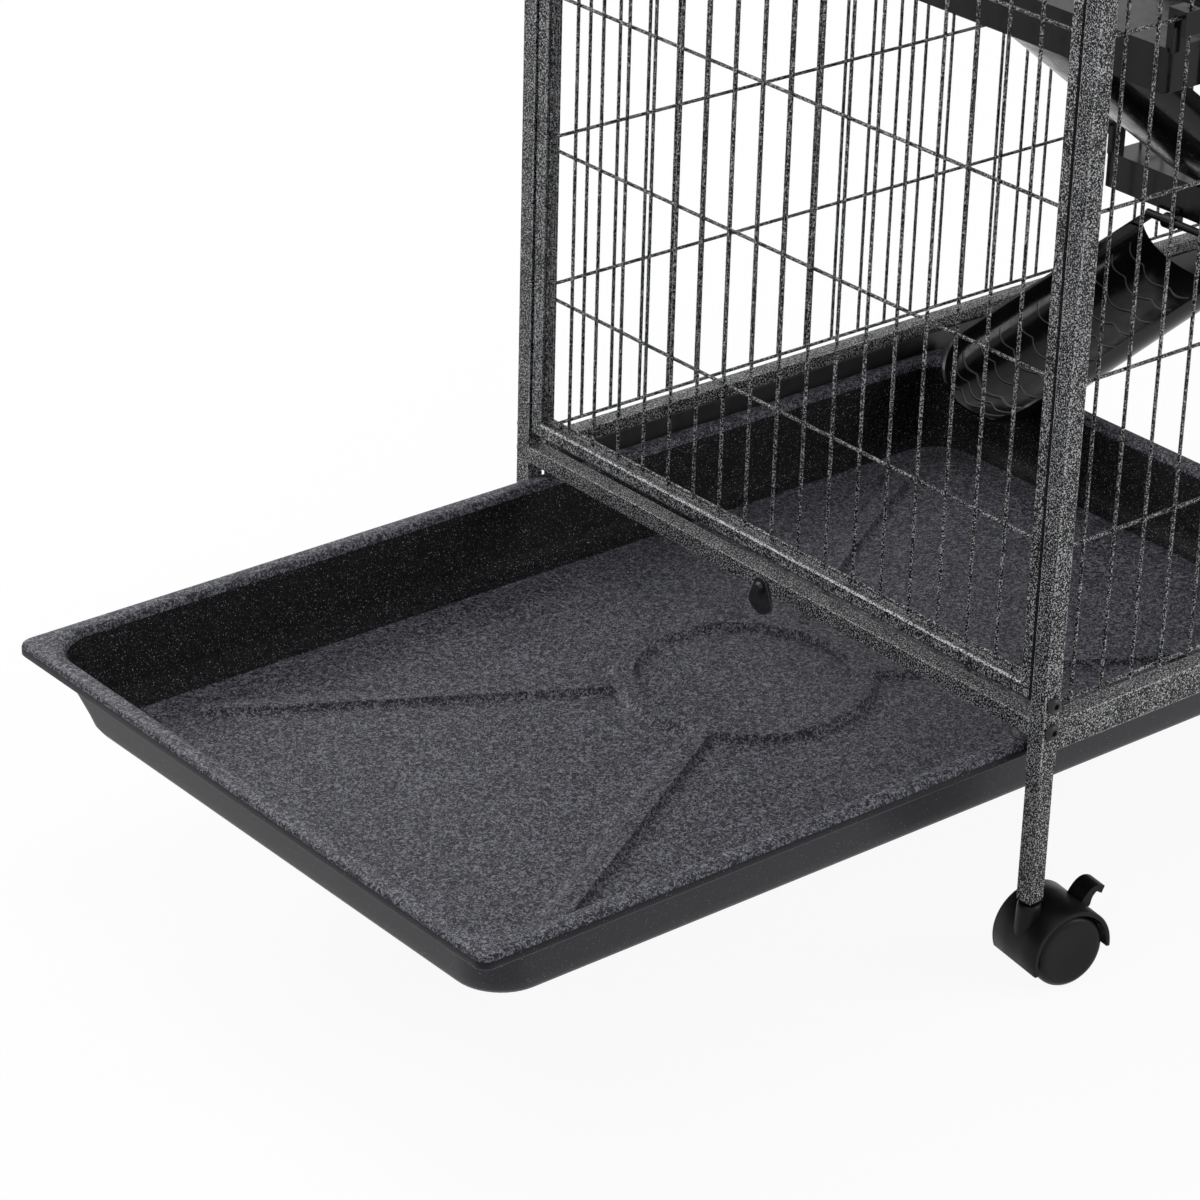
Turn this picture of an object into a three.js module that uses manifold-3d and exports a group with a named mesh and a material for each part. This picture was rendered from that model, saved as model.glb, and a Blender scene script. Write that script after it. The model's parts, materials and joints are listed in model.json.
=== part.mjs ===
// A tall wire pet cage on casters, with its litter tray pulled out at one end.
// Millimetres, +Z up. The exit end, where the tray slides out, faces -X; the doors face -Y.
// Inside the cage group, X = 0 is the outer face of the exit end, Y = 0 the outer face of the
// back, and Z = 0 the top of the lower rails. The group is then moved so that the centre of the
// whole object's footprint is at X = Y = 0 and the casters stand on Z = 0.
import * as THREE from "three";
import { mergeVertices } from "three/addons/utils/BufferGeometryUtils.js";
import Module from "manifold-3d";

const wasm = await Module();
wasm.setup();

// ---------------------------------------------------------------- driving dimensions

const cageLength = 814.4; // X, over the posts
const cageWidth = 504.7; // Y, over the posts
const postTop = 1135.5;
const fitGap = 0.3; // between pieces that touch

const post = { size: 12.5, wall: 1.0, bottom: -34.3 };
const leg = { size: 11.4, bore: 8.0, bottom: -123.2, spigotGap: 0.25, spigotLength: 20 };
const legInsert = { collar: 10.4, collarHeight: 2.2, stemBore: 6.2, plug: 7.5, plugLength: 18 };

const wire = { diameter: 2.3, sides: 4, layerGap: 0.3 };
const mesh = {
  pitch: 25.4, // between upright wires
  rowPitch: 103.8, // between level wires
  firstRow: 110.9, // height of the first level wire
  rows: 10,
  depth: 6.3, // from the outer face of the frame to the middle of the two wire layers
  borderInset: 7.6, // border wire above the side rail, and below the post tops
  endMargin: 26.2, // from the exit end to the first upright wire of a long side
  borderDiameter: 3.2,
};
const wiresAcross = (span) => 1 + Math.round((span - 2 * mesh.endMargin) / mesh.pitch);
const sideWires = wiresAcross(cageLength);
const endWires = wiresAcross(cageWidth);

const endRail = { height: 11.3, size: 12.5, wall: 1.2 };
const sideRail = { height: 20.2, size: 12.5, wall: 1.2 };
const endPanel = { gapAboveRail: 6.9, frame: 10.6, depth: 11.4, sideGap: 0.4, borderGap: 3.2 };
const topPanel = { size: 12.5, lengthWires: 4 };

const screw = { head: 10.6, headHeight: 3.2, shank: 4.6, sides: 8 };
const screwHoleGap = 0.3;
const screwInset = 6.3; // from the end face to the screw's axis
const screwReach = 17;

const tray = {
  length: 790,
  halfWidth: cageWidth / 2 - 16.85,
  pulledOut: 406.1, // how far the front rim stands outside the exit face
  rimTop: -20.0,
  rimWidth: 12.8,
  rimRound: 2,
  lipHeight: 8.7,
  wall: 2.6,
  depth: 52,
  wallLean: 14, // how far the wall leans in from rim to floor
  rimCorner: 8, // outside the rim
  wallCorner: 30, // where the walls meet
  cornerSteps: 5,
};
const trayRing = { inner: 68, outer: 85, height: 3.2, steps: 24 };
const trayRib = { width: 18, topWidth: 9, height: 2.6, reachX: 307, reachY: 175 };

const runner = { wall: 1.4, ledge: 12.5, top: -9.0, lipGap: 0.3, endGap: 1.0 };

const trayLatch = { width: 24, length: 19, thick: 1.6, pivotDrop: 8.4, hole: 4.6 };
const latchScrew = { head: 8.4, headHeight: 2.6, shank: 4.0, reach: 8, sides: 8 };

const shelf = {
  width: cageWidth - 22.7, // Y
  thick: 2.8,
  apron: 27.2,
  dropFromRow: 18.3, // shelf top below the level wire that it hangs on
  hookWidth: 13,
  hookWall: 3.0,
  hookRise: 4.0,
  hookTip: 9,
  hookInset: 1.2, // from the shelf's corner to the hook
  rodDrop: 30.7, // hinge rod below the shelf top
  rodReach: 6.5, // hinge rod outside the apron
};
const ringHook = { spacing: 60, width: 9, outer: 5.8, gap: 0.3 };
const lowerShelf = { start: 543.6, length: 182.8, row: 0 };
const middleShelf = { start: 67.3, length: 161.3, row: 3 };
const upperShelf = { start: 543.6, length: 182.8, row: 6 };

const ramp = {
  width: 109,
  depth: 35.6, // from the hinge rod to the outside of the trough's bottom
  wall: 2.6,
  rod: 6.0,
  startGap: 6.5, // from the rod's axis to the trough
  tongue: 46, // length over which the lower end rounds off
  tongueRise: 7,
  tongueNarrow: 0.42,
  ear: 6.5,
  acrossSteps: 10,
  alongSteps: 8,
};
const lowerRampLength = 230;
const rampRest = 0.4; // gap under a ramp's end
const rampLanding = 9; // how far onto the shelf a ramp's tip stands
const lowerRampY = -114; // centre line of the lower and middle ramps
const upperRampY = -388;

const door = { frame: 10, gap: 4.6, wires: 10, hingeInset: 62 };
const doorOpening = { firstWire: 9, lastWire: 20, rod: 5.0 };
const doorRows = [
  [0, 4],
  [5, 9],
];
const hingeRing = { height: 16, outer: 4.5, gap: 0.3 };
const turnLatch = { length: 36, width: 12, thick: 2.4, tail: 8, hole: 4.8, pivotOut: 12 };
const latchPlate = { width: 21, height: 20, inside: 1, pin: 4.2, head: 8.4, headHeight: 1.6 };

const caster = {
  trail: 18.8,
  wheelRadius: 24.4,
  wheelSides: 18,
  axleHeight: -155.6,
  width: 45,
  hoodWall: 3.0,
  hoodGap: 1.2,
  hoodFront: 200, // degrees round the axle where the hood's front edge is
  hoodRear: -4,
  hoodSteps: 10,
  web: 4.0,
  webFrom: 15, // degrees round the axle
  webTo: 180,
  axle: 7.0,
  axleGap: 0.4,
  hubWall: 3.6,
  hubOpening: 10, // degrees that the hub is left open
  wheelInset: 1.2,
  chamfer: 2.6,
  sideGap: 0.8,
  boss: 15,
  stem: 5.6,
  stemReach: 16,
};
const casterTurns = [-9, 7, -14, 4]; // degrees, each caster as it happens to stand
const brake = { angle: 48, width: 15, slotGap: 0.5, knuckle: 3.6, reach: 14.5, thick: 3.4 };

// ---------------------------------------------------------------- colours

function finish(colour, roughness, metalness) {
  return new THREE.MeshStandardMaterial({ color: colour, roughness, metalness });
}
const hammertone = () => finish(0x4a4b4d, 0.45, 0.6);
const trayPlastic = () => finish(0x2b2c33, 0.6, 0);
const glossBlack = () => finish(0x0c0c0e, 0.15, 0);
const satinBlack = () => finish(0x121214, 0.45, 0);
const blackScrew = () => finish(0x1a1a1c, 0.4, 0.5);
const runnerSteel = () => finish(0x101012, 0.5, 0.3);

// ---------------------------------------------------------------- solids

const deg = THREE.MathUtils.degToRad;

function toSolid(geometry) {
  const bare = geometry.clone();
  bare.deleteAttribute("normal");
  bare.deleteAttribute("uv");
  const merged = mergeVertices(bare, 1e-4);
  const vertProperties = merged.attributes.position.array;
  const triVerts = new Uint32Array(merged.index.array);
  return new wasm.Manifold(new wasm.Mesh({ numProp: 3, vertProperties, triVerts }));
}

function toGeometry(solid) {
  const made = solid.getMesh();
  const count = made.vertProperties.length / made.numProp;
  const points = new Float32Array(count * 3);
  for (let i = 0; i < count; i += 1) {
    for (let k = 0; k < 3; k += 1) {
      points[3 * i + k] = made.vertProperties[made.numProp * i + k];
    }
  }
  const geometry = new THREE.BufferGeometry();
  geometry.setAttribute("position", new THREE.BufferAttribute(points, 3));
  geometry.setIndex(new THREE.BufferAttribute(new Uint32Array(made.triVerts), 1));
  geometry.computeVertexNormals();
  return geometry;
}

function fuse(geometries) {
  const solids = geometries.map(toSolid);
  return solids.reduce((whole, piece) => whole.add(piece));
}

function cut(solid, geometries) {
  return geometries.map(toSolid).reduce((whole, piece) => whole.subtract(piece), solid);
}

function boxBetween(low, high) {
  const size = high.map((value, k) => value - low[k]);
  const box = new THREE.BoxGeometry(...size);
  return box.translate(...low.map((value, k) => value + size[k] / 2));
}

// A rod between two points that differ along one axis only. Its flats touch the stated diameter.
function rodBetween(from, to, diameter, sides) {
  const start = new THREE.Vector3(...from);
  const end = new THREE.Vector3(...to);
  const length = start.distanceTo(end);
  const radius = diameter / 2 / Math.cos(Math.PI / sides);
  const rod = new THREE.CylinderGeometry(radius, radius, length, sides);
  rod.rotateY(Math.PI / sides);
  const along = end.clone().sub(start).normalize();
  rod.applyQuaternion(new THREE.Quaternion().setFromUnitVectors(new THREE.Vector3(0, 1, 0), along));
  const middle = start.add(end).multiplyScalar(0.5);
  return rod.translate(middle.x, middle.y, middle.z);
}

function wireBetween(from, to) {
  return rodBetween(from, to, wire.diameter, wire.sides);
}

function squareOutline(sizeX, sizeY) {
  const outline = new THREE.Shape();
  outline.moveTo(-sizeX / 2, -sizeY / 2);
  outline.lineTo(sizeX / 2, -sizeY / 2);
  outline.lineTo(sizeX / 2, sizeY / 2);
  outline.lineTo(-sizeX / 2, sizeY / 2);
  outline.closePath();
  return outline;
}

// A rectangular tube standing on Z = 0, open at both ends.
function squareTube(sizeX, sizeY, boreX, boreY, length) {
  const outline = squareOutline(sizeX, sizeY);
  outline.holes.push(squareOutline(boreX, boreY));
  return new THREE.ExtrudeGeometry(outline, { depth: length, bevelEnabled: false });
}

// A turned piece from its half outline [radius, height], about Z.
function turned(profile, sides) {
  const points = profile.map(([radius, height]) => new THREE.Vector2(radius, height));
  const lathe = new THREE.LatheGeometry(points, sides, Math.PI / sides);
  return lathe.rotateX(Math.PI / 2);
}

// Joins rings of equal point counts into one closed skin, capped at both ends.
function skinOfRings(rings) {
  const count = rings[0].length;
  const positions = rings.flat(2);
  const index = [];
  for (let r = 0; r + 1 < rings.length; r += 1) {
    for (let i = 0; i < count; i += 1) {
      const next = (i + 1) % count;
      const a = r * count + i;
      const b = r * count + next;
      index.push(a, b, b + count);
      index.push(a, b + count, a + count);
    }
  }
  const capTriangles = (ring) => {
    const flat = ring.map(([x, y]) => new THREE.Vector2(x, y));
    return THREE.ShapeUtils.triangulateShape(flat, []);
  };
  for (const [a, b, c] of capTriangles(rings[0])) index.push(a, c, b);
  const last = (rings.length - 1) * count;
  for (const [a, b, c] of capTriangles(rings.at(-1))) index.push(last + a, last + b, last + c);
  const geometry = new THREE.BufferGeometry();
  geometry.setAttribute("position", new THREE.Float32BufferAttribute(positions, 3));
  geometry.setIndex(index);
  return geometry;
}

const cage = new THREE.Group();

function place(name, solid, material, position, rotation) {
  const made = new THREE.Mesh(toGeometry(solid), material);
  made.name = name;
  made.position.set(...position);
  if (rotation) made.rotation.set(...rotation);
  cage.add(made);
  return made;
}

// ---------------------------------------------------------------- corners of the cage

// Each corner's post axis, and the outward directions along X and Y.
const corners = [
  { name: "exit_front", x: post.size / 2, y: -cageWidth + post.size / 2, outX: -1, outY: -1 },
  { name: "exit_back", x: post.size / 2, y: -post.size / 2, outX: -1, outY: 1 },
  { name: "far_front", x: cageLength - post.size / 2, y: -cageWidth + post.size / 2, outX: 1, outY: -1 },
  { name: "far_back", x: cageLength - post.size / 2, y: -post.size / 2, outX: 1, outY: 1 },
];

const panelBottom = endPanel.gapAboveRail;
const panelTop = postTop - endPanel.sideGap;
const screwHeights = {
  lower: -endRail.height / 2,
  upper: panelBottom + endPanel.frame / 2,
  top: panelTop - endPanel.frame / 2,
};

function screwHole(cornerAt, height) {
  const half = screwReach + post.size;
  const x = cornerAt.outX * (post.size / 2 - screwInset);
  const hole = screw.shank + 2 * screwHoleGap;
  return rodBetween([x, -half, height], [x, half, height], hole, screw.sides);
}

function makePost(cornerAt) {
  const bore = post.size - 2 * post.wall;
  const tube = squareTube(post.size, post.size, bore, bore, postTop - post.bottom);
  tube.translate(0, 0, post.bottom);
  const holes = Object.values(screwHeights).map((height) => screwHole(cornerAt, height));
  const solid = cut(toSolid(tube), holes);
  place("post_" + cornerAt.name, solid, hammertone(), [cornerAt.x, cornerAt.y, 0]);
}

function makeLeg(cornerAt) {
  const spigot = post.size - 2 * post.wall - 2 * leg.spigotGap;
  const lower = squareTube(leg.size, leg.size, leg.bore, leg.bore, post.bottom - leg.bottom);
  lower.translate(0, 0, leg.bottom);
  const upper = squareTube(spigot, spigot, leg.bore, leg.bore, leg.spigotLength + post.wall);
  upper.translate(0, 0, post.bottom - post.wall);
  place("leg_" + cornerAt.name, fuse([lower, upper]), hammertone(), [cornerAt.x, cornerAt.y, 0]);
}

// The rounded plastic plug in the foot of a leg, which carries the caster's stem.
function makeLegInsert(cornerAt) {
  const collar = legInsert.collar / 2;
  const plug = legInsert.plug / 2;
  const bore = legInsert.stemBore / 2;
  const foot = -legInsert.collarHeight;
  const profile = [
    [bore, foot],
    [collar - 1.2, foot],
    [collar, foot + 1.2],
    [collar, -fitGap],
    [plug, -fitGap],
    [plug, legInsert.plugLength],
    [bore, legInsert.plugLength],
    [bore, foot],
  ];
  const solid = toSolid(turned(profile, 10));
  place("leg_insert_" + cornerAt.name, solid, satinBlack(), [cornerAt.x, cornerAt.y, leg.bottom]);
}

function makeScrewSolid(size, reach) {
  const profile = [
    [0, size.headHeight],
    [size.head * 0.3, size.headHeight],
    [size.head / 2, size.headHeight * 0.35],
    [size.head / 2, fitGap],
    [size.shank / 2, fitGap],
    [size.shank / 2, -reach],
    [0, -reach],
  ];
  return toSolid(turned(profile.reverse(), size.sides));
}

// Button-head screws go through a post from the long side into the end rails and end panels.
function makeCornerScrews(cornerAt) {
  const x = cornerAt.x + cornerAt.outX * (post.size / 2 - screwInset);
  const y = cornerAt.y + (cornerAt.outY * post.size) / 2;
  const turn = [-cornerAt.outY * Math.PI / 2, 0, 0];
  for (const [level, height] of Object.entries(screwHeights)) {
    const name = level + "_screw_" + cornerAt.name;
    place(name, makeScrewSolid(screw, screwReach), blackScrew(), [x, y, height], turn);
  }
}

// ---------------------------------------------------------------- rails and runners

const endRailLength = cageWidth - 2 * post.size - 2 * fitGap;
const sideRailLength = cageLength - 2 * post.size - 2 * fitGap;

function makeEndRail(name, x, latchHole) {
  const bore = endRail.size - 2 * endRail.wall;
  const boreHeight = endRail.height - 2 * endRail.wall;
  const tube = squareTube(endRail.height, endRail.size, boreHeight, bore, endRailLength);
  tube.rotateY(Math.PI / 2).rotateZ(Math.PI / 2);
  tube.translate(0, -endRailLength / 2, 0);
  let solid = toSolid(tube);
  if (latchHole) solid = cut(solid, [latchHole]);
  place(name, solid, hammertone(), [x, -cageWidth / 2, -endRail.height / 2]);
}

function makeSideRail(name, y) {
  const bore = sideRail.size - 2 * sideRail.wall;
  const boreHeight = sideRail.height - 2 * sideRail.wall;
  const tube = squareTube(sideRail.height, sideRail.size, boreHeight, bore, sideRailLength);
  tube.rotateY(Math.PI / 2);
  tube.translate(-sideRailLength / 2, 0, 0);
  place(name, toSolid(tube), hammertone(), [cageLength / 2, y, -sideRail.height / 2]);
}

// An angle inside each side rail, whose ledge carries the tray's lip.
function makeRunner(name, side) {
  const railInside = sideRail.size + fitGap;
  const ledgeTop = tray.rimTop - tray.lipHeight - runner.lipGap;
  const half = sideRailLength / 2 - runner.endGap;
  const start = [-half, railInside, ledgeTop - runner.wall];
  const web = boxBetween(start, [half, railInside + runner.wall, runner.top]);
  const ledge = boxBetween(start, [half, railInside + runner.ledge, ledgeTop]);
  const solid = fuse([web, ledge]);
  const y = side > 0 ? -cageWidth : 0;
  const turn = side > 0 ? [0, 0, 0] : [0, 0, Math.PI];
  place(name, solid, runnerSteel(), [cageLength / 2, y, 0], turn);
}

// ---------------------------------------------------------------- wire panels

const layerOffset = (wire.diameter + wire.layerGap) / 2;
const rowHeights = Array.from({ length: mesh.rows }, (_, k) => mesh.firstRow + k * mesh.rowPitch);
const borderLow = mesh.borderInset;
const borderHigh = postTop - mesh.borderInset;

// The outer layer holds the upright wires and the inner layer the level ones. An end panel's
// own frame is a welded square of tube, and all its wires end in that frame.
function makeEndPanel(name, x, outward) {
  const half = (cageWidth - 2 * post.size) / 2 - endPanel.sideGap;
  const bar = endPanel.frame;
  const outer = endPanel.depth / 2;
  const pieces = [
    boxBetween([-outer, -half, panelBottom], [outer, half, panelBottom + bar]),
    boxBetween([-outer, -half, panelTop - bar], [outer, half, panelTop]),
    boxBetween([-outer, -half, panelBottom], [outer, -half + bar, panelTop]),
    boxBetween([-outer, half - bar, panelBottom], [outer, half, panelTop]),
  ];
  const uprightX = outward * layerOffset;
  const first = (-(endWires - 1) / 2) * mesh.pitch;
  const inFrame = bar / 2;
  for (let i = 0; i < endWires; i += 1) {
    const y = first + i * mesh.pitch;
    pieces.push(wireBetween([uprightX, y, panelBottom + inFrame], [uprightX, y, panelTop - inFrame]));
  }
  const border = bar + endPanel.borderGap;
  for (const z of [panelBottom + border, ...rowHeights, panelTop - border]) {
    pieces.push(wireBetween([-uprightX, -half + inFrame, z], [-uprightX, half - inFrame, z]));
  }
  const holeX = outward * (x < cageLength / 2 ? screwInset - x : x - cageLength + screwInset);
  const holeEnd = half - (screwReach - post.size) - screwHoleGap;
  const holes = [];
  for (const z of [screwHeights.upper, screwHeights.top]) {
    for (const side of [-1, 1]) {
      const from = [holeX * outward, side * holeEnd, z];
      const to = [holeX * outward, side * (half + 1), z];
      holes.push(rodBetween(from, to, screw.shank + 2 * screwHoleGap, screw.sides));
    }
  }
  place(name, cut(fuse(pieces), holes), hammertone(), [x, -cageWidth / 2, 0]);
}

const sideUprightX = (i) => mesh.endMargin + i * mesh.pitch;
const openingLeft = sideUprightX(doorOpening.firstWire);
const openingRight = sideUprightX(doorOpening.lastWire);
const openings = doorRows.map(([low, high]) => ({ low: rowHeights[low], high: rowHeights[high] }));

function insideOpeningHeight(z) {
  return openings.some(({ low, high }) => z > low + 1 && z < high - 1);
}

// Stretches of an upright wire that are left between the door openings.
function uprightStretches(x) {
  const crossesDoors = x > openingLeft + 1 && x < openingRight - 1;
  if (!crossesDoors) return [[borderLow, borderHigh]];
  const ends = [borderLow, ...openings.flatMap(({ low, high }) => [low, high]), borderHigh];
  return Array.from({ length: ends.length / 2 }, (_, k) => [ends[2 * k], ends[2 * k + 1]]);
}

// A long side's wires, local to its middle plane, with the outside towards +outward in Y.
function sideWirePieces(outward, withOpenings) {
  const uprightY = outward * layerOffset;
  const levelY = -uprightY;
  const start = post.size + fitGap;
  const end = cageLength - post.size - fitGap;
  const pieces = [];
  for (const z of [borderLow, borderHigh]) {
    pieces.push(rodBetween([start, 0, z], [end, 0, z], mesh.borderDiameter, wire.sides));
  }
  for (let i = 0; i < sideWires; i += 1) {
    const x = sideUprightX(i);
    const isBorder = i === 0 || i === sideWires - 1;
    const stretches = withOpenings ? uprightStretches(x) : [[borderLow, borderHigh]];
    for (const [low, high] of stretches) {
      const from = [x, isBorder ? 0 : uprightY, low];
      const to = [x, isBorder ? 0 : uprightY, high];
      const diameter = isBorder ? mesh.borderDiameter : wire.diameter;
      pieces.push(rodBetween(from, to, diameter, wire.sides));
    }
  }
  for (const z of rowHeights) {
    if (withOpenings && insideOpeningHeight(z)) {
      pieces.push(wireBetween([start, levelY, z], [openingLeft, levelY, z]));
      pieces.push(wireBetween([openingRight, levelY, z], [end, levelY, z]));
    } else {
      pieces.push(wireBetween([start, levelY, z], [end, levelY, z]));
    }
  }
  return pieces;
}

function makeBackMesh() {
  const solid = fuse(sideWirePieces(1, false));
  place("back_mesh", solid, hammertone(), [0, -mesh.depth, 0]);
}

// ---------------------------------------------------------------- doors and their latches

const doorHingeX = openingLeft;
const latchPivotX = openingRight + turnLatch.pivotOut;
const latchPlateFace = -door.frame / 2;

function doorMiddle({ low, high }) {
  return (low + high) / 2;
}

// Thick rods round each door opening, and the riveted plates that carry the turn latches.
function openingPieces(opening) {
  const { low, high } = opening;
  const rod = doorOpening.rod;
  const middle = doorMiddle(opening);
  const pieces = [
    rodBetween([openingLeft, 0, low], [openingLeft, 0, high], rod, 8),
    rodBetween([openingRight, 0, low], [openingRight, 0, high], rod, 8),
    rodBetween([openingLeft - rod / 2, 0, low], [openingRight + rod / 2, 0, low], rod, 8),
    rodBetween([openingLeft - rod / 2, 0, high], [openingRight + rod / 2, 0, high], rod, 8),
  ];
  const plateHalf = latchPlate.height / 2;
  pieces.push(
    boxBetween(
      [openingRight, latchPlateFace, middle - plateHalf],
      [openingRight + latchPlate.width, -latchPlate.inside, middle + plateHalf],
    ),
  );
  const pinStart = [latchPivotX, latchPlateFace + 0.5, middle];
  const latchRoom = turnLatch.thick + 2 * fitGap;
  const headFace = latchPlateFace - latchRoom;
  pieces.push(rodBetween(pinStart, [latchPivotX, headFace - 0.5, middle], latchPlate.pin, 10));
  const headEnd = [latchPivotX, headFace - latchPlate.headHeight, middle];
  pieces.push(rodBetween([latchPivotX, headFace, middle], headEnd, latchPlate.head, 12));
  return pieces;
}

function makeFrontMesh() {
  const pieces = sideWirePieces(-1, true);
  for (const opening of openings) pieces.push(...openingPieces(opening));
  place("front_mesh", fuse(pieces), hammertone(), [0, -cageWidth + mesh.depth, 0]);
}

// A ring about a vertical hinge rod, from z to z + height.
function ringAbout(outer, inner, height, sides) {
  const ring = turned(
    [
      [inner, 0],
      [outer, 0],
      [outer, height],
      [inner, height],
      [inner, 0],
    ],
    sides,
  );
  return ring;
}

// A door is local to its hinge rod: the door reaches along +X from it.
function makeDoor(name, opening) {
  const span = openingRight - openingLeft;
  const height = opening.high - opening.low;
  const left = door.gap;
  const right = span - door.gap;
  const bottom = -height / 2 + door.gap;
  const top = height / 2 - door.gap;
  const half = door.frame / 2;
  const bar = door.frame;
  const pieces = [
    boxBetween([left, -half, bottom], [right, half, bottom + bar]),
    boxBetween([left, -half, top - bar], [right, half, top]),
    boxBetween([left, -half, bottom], [left + bar, half, top]),
    boxBetween([right - bar, -half, bottom], [right, half, top]),
  ];
  for (let i = 1; i <= door.wires; i += 1) {
    const x = i * mesh.pitch;
    pieces.push(wireBetween([x, -layerOffset, bottom + half], [x, -layerOffset, top - half]));
  }
  for (let k = 1; k * mesh.rowPitch < height - 1; k += 1) {
    const z = -height / 2 + k * mesh.rowPitch;
    pieces.push(wireBetween([left + half, layerOffset, z], [right - half, layerOffset, z]));
  }
  const inner = doorOpening.rod / 2 + hingeRing.gap;
  for (const side of [-1, 1]) {
    const z = side * (height / 2 - door.hingeInset) - hingeRing.height / 2;
    const ring = ringAbout(hingeRing.outer + 1.2, inner, hingeRing.height, 16).translate(0, 0, z);
    pieces.push(ring);
  }
  const y = -cageWidth + mesh.depth;
  place(name, fuse(pieces), hammertone(), [doorHingeX, y, doorMiddle(opening)]);
}

// A flat turn button, upright when it frees the door.
function makeTurnLatch(name, opening) {
  const outline = new THREE.Shape();
  const half = turnLatch.width / 2;
  outline.moveTo(half, -turnLatch.tail);
  outline.lineTo(half, turnLatch.length - turnLatch.tail - half);
  outline.absarc(0, turnLatch.length - turnLatch.tail - half, half, 0, Math.PI, false);
  outline.lineTo(-half, -turnLatch.tail);
  outline.closePath();
  const hole = new THREE.Path();
  hole.absarc(0, 0, turnLatch.hole / 2, 0, 2 * Math.PI, true);
  outline.holes.push(hole);
  const button = new THREE.ExtrudeGeometry(outline, {
    depth: turnLatch.thick,
    bevelEnabled: false,
    curveSegments: 8,
  });
  button.rotateX(Math.PI / 2);
  const y = -cageWidth + mesh.depth + latchPlateFace - fitGap;
  place(name, toSolid(button), satinBlack(), [latchPivotX, y, doorMiddle(opening)]);
}

// ---------------------------------------------------------------- top panel

function makeTopPanel() {
  const size = topPanel.size;
  const low = -size / 2;
  const high = size / 2;
  const pieces = [
    boxBetween([0, -size, low], [cageLength, 0, high]),
    boxBetween([0, -cageWidth, low], [cageLength, -cageWidth + size, high]),
    boxBetween([0, -cageWidth, low], [size, 0, high]),
    boxBetween([cageLength - size, -cageWidth, low], [cageLength, 0, high]),
  ];
  for (let i = 0; i < sideWires; i += 1) {
    const x = sideUprightX(i);
    pieces.push(wireBetween([x, -size / 2, layerOffset], [x, -cageWidth + size / 2, layerOffset]));
  }
  for (let k = 1; k <= topPanel.lengthWires; k += 1) {
    const y = (-cageWidth * k) / (topPanel.lengthWires + 1);
    pieces.push(wireBetween([size / 2, y, -layerOffset], [cageLength - size / 2, y, -layerOffset]));
  }
  place("top_panel", fuse(pieces), hammertone(), [0, 0, postTop + size / 2]);
}

// ---------------------------------------------------------------- tray

// One rounded rectangle, as points, drawn in by inset from the tray's outer edge.
function trayLoop(inset, z, radius) {
  const halfX = tray.length / 2 - inset;
  const halfY = tray.halfWidth - inset;
  const loop = [];
  for (let corner = 0; corner < 4; corner += 1) {
    const signX = corner === 0 || corner === 3 ? 1 : -1;
    const signY = corner < 2 ? 1 : -1;
    for (let step = 0; step <= tray.cornerSteps; step += 1) {
      const angle = ((corner + step / tray.cornerSteps) * Math.PI) / 2;
      const x = signX * (halfX - radius) + radius * Math.cos(angle);
      const y = signY * (halfY - radius) + radius * Math.sin(angle);
      loop.push([x, y, z]);
    }
  }
  return loop;
}

function trayPan() {
  const lipWall = tray.wall;
  const rim = tray.rimWidth;
  const floor = -tray.depth;
  const lean = tray.wallLean;
  const wall = tray.wall;
  const sharp = tray.rimCorner;
  const wide = tray.wallCorner;
  // From the middle of the underside, out and up round the lip, and down to the floor inside.
  const profile = [
    [rim + lean + 9, floor - wall, wide],
    [rim + lean + 1, floor - wall + 2.5, wide],
    [rim + lean - 3, floor - wall + 8, wide],
    [rim - wall, -wall - 2, wide],
    [rim - wall - 1.5, -wall, wide],
    [lipWall, -wall, sharp],
    [lipWall, -tray.lipHeight, sharp],
    [0, -tray.lipHeight, sharp],
    [0, -2.2, sharp],
    [2.2, 0, sharp],
    [rim - tray.rimRound, 0, wide],
    [rim + 1, -2.4, wide],
    [rim + lean, floor + 9, wide],
    [rim + lean + 3, floor + 2.8, wide],
    [rim + lean + 10, floor, wide],
  ];
  return skinOfRings(profile.map(([inset, z, radius]) => trayLoop(inset, z, radius)));
}

function trayRingGeometry() {
  const { inner, outer, height } = trayRing;
  const low = -tray.depth - 1;
  const top = -tray.depth + height;
  const profile = [
    [inner, low],
    [outer, low],
    [outer - 3.5, top],
    [inner + 3.5, top],
    [inner, low],
  ];
  return turned(profile, trayRing.steps);
}

// A raised rib on the tray's floor from the ring out towards a corner.
function trayRibGeometry(signX, signY) {
  const startRadius = (trayRing.inner + trayRing.outer) / 2;
  const angle = Math.atan2(signY * trayRib.reachY, signX * trayRib.reachX);
  const length = Math.hypot(trayRib.reachX, trayRib.reachY) - startRadius;
  const outline = new THREE.Shape();
  outline.moveTo(-trayRib.width / 2, -1);
  outline.lineTo(trayRib.width / 2, -1);
  outline.lineTo(trayRib.topWidth / 2, trayRib.height);
  outline.lineTo(-trayRib.topWidth / 2, trayRib.height);
  outline.closePath();
  const rib = new THREE.ExtrudeGeometry(outline, { depth: length, bevelEnabled: false });
  rib.rotateX(Math.PI / 2).rotateZ(Math.PI / 2);
  rib.translate(startRadius, 0, -tray.depth);
  return rib.rotateZ(angle);
}

function makeTray() {
  const pieces = [trayPan(), trayRingGeometry()];
  for (const signX of [-1, 1]) {
    for (const signY of [-1, 1]) pieces.push(trayRibGeometry(signX, signY));
  }
  const x = tray.length / 2 - tray.pulledOut;
  place("litter_tray", fuse(pieces), trayPlastic(), [x, -cageWidth / 2, tray.rimTop]);
}

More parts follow.
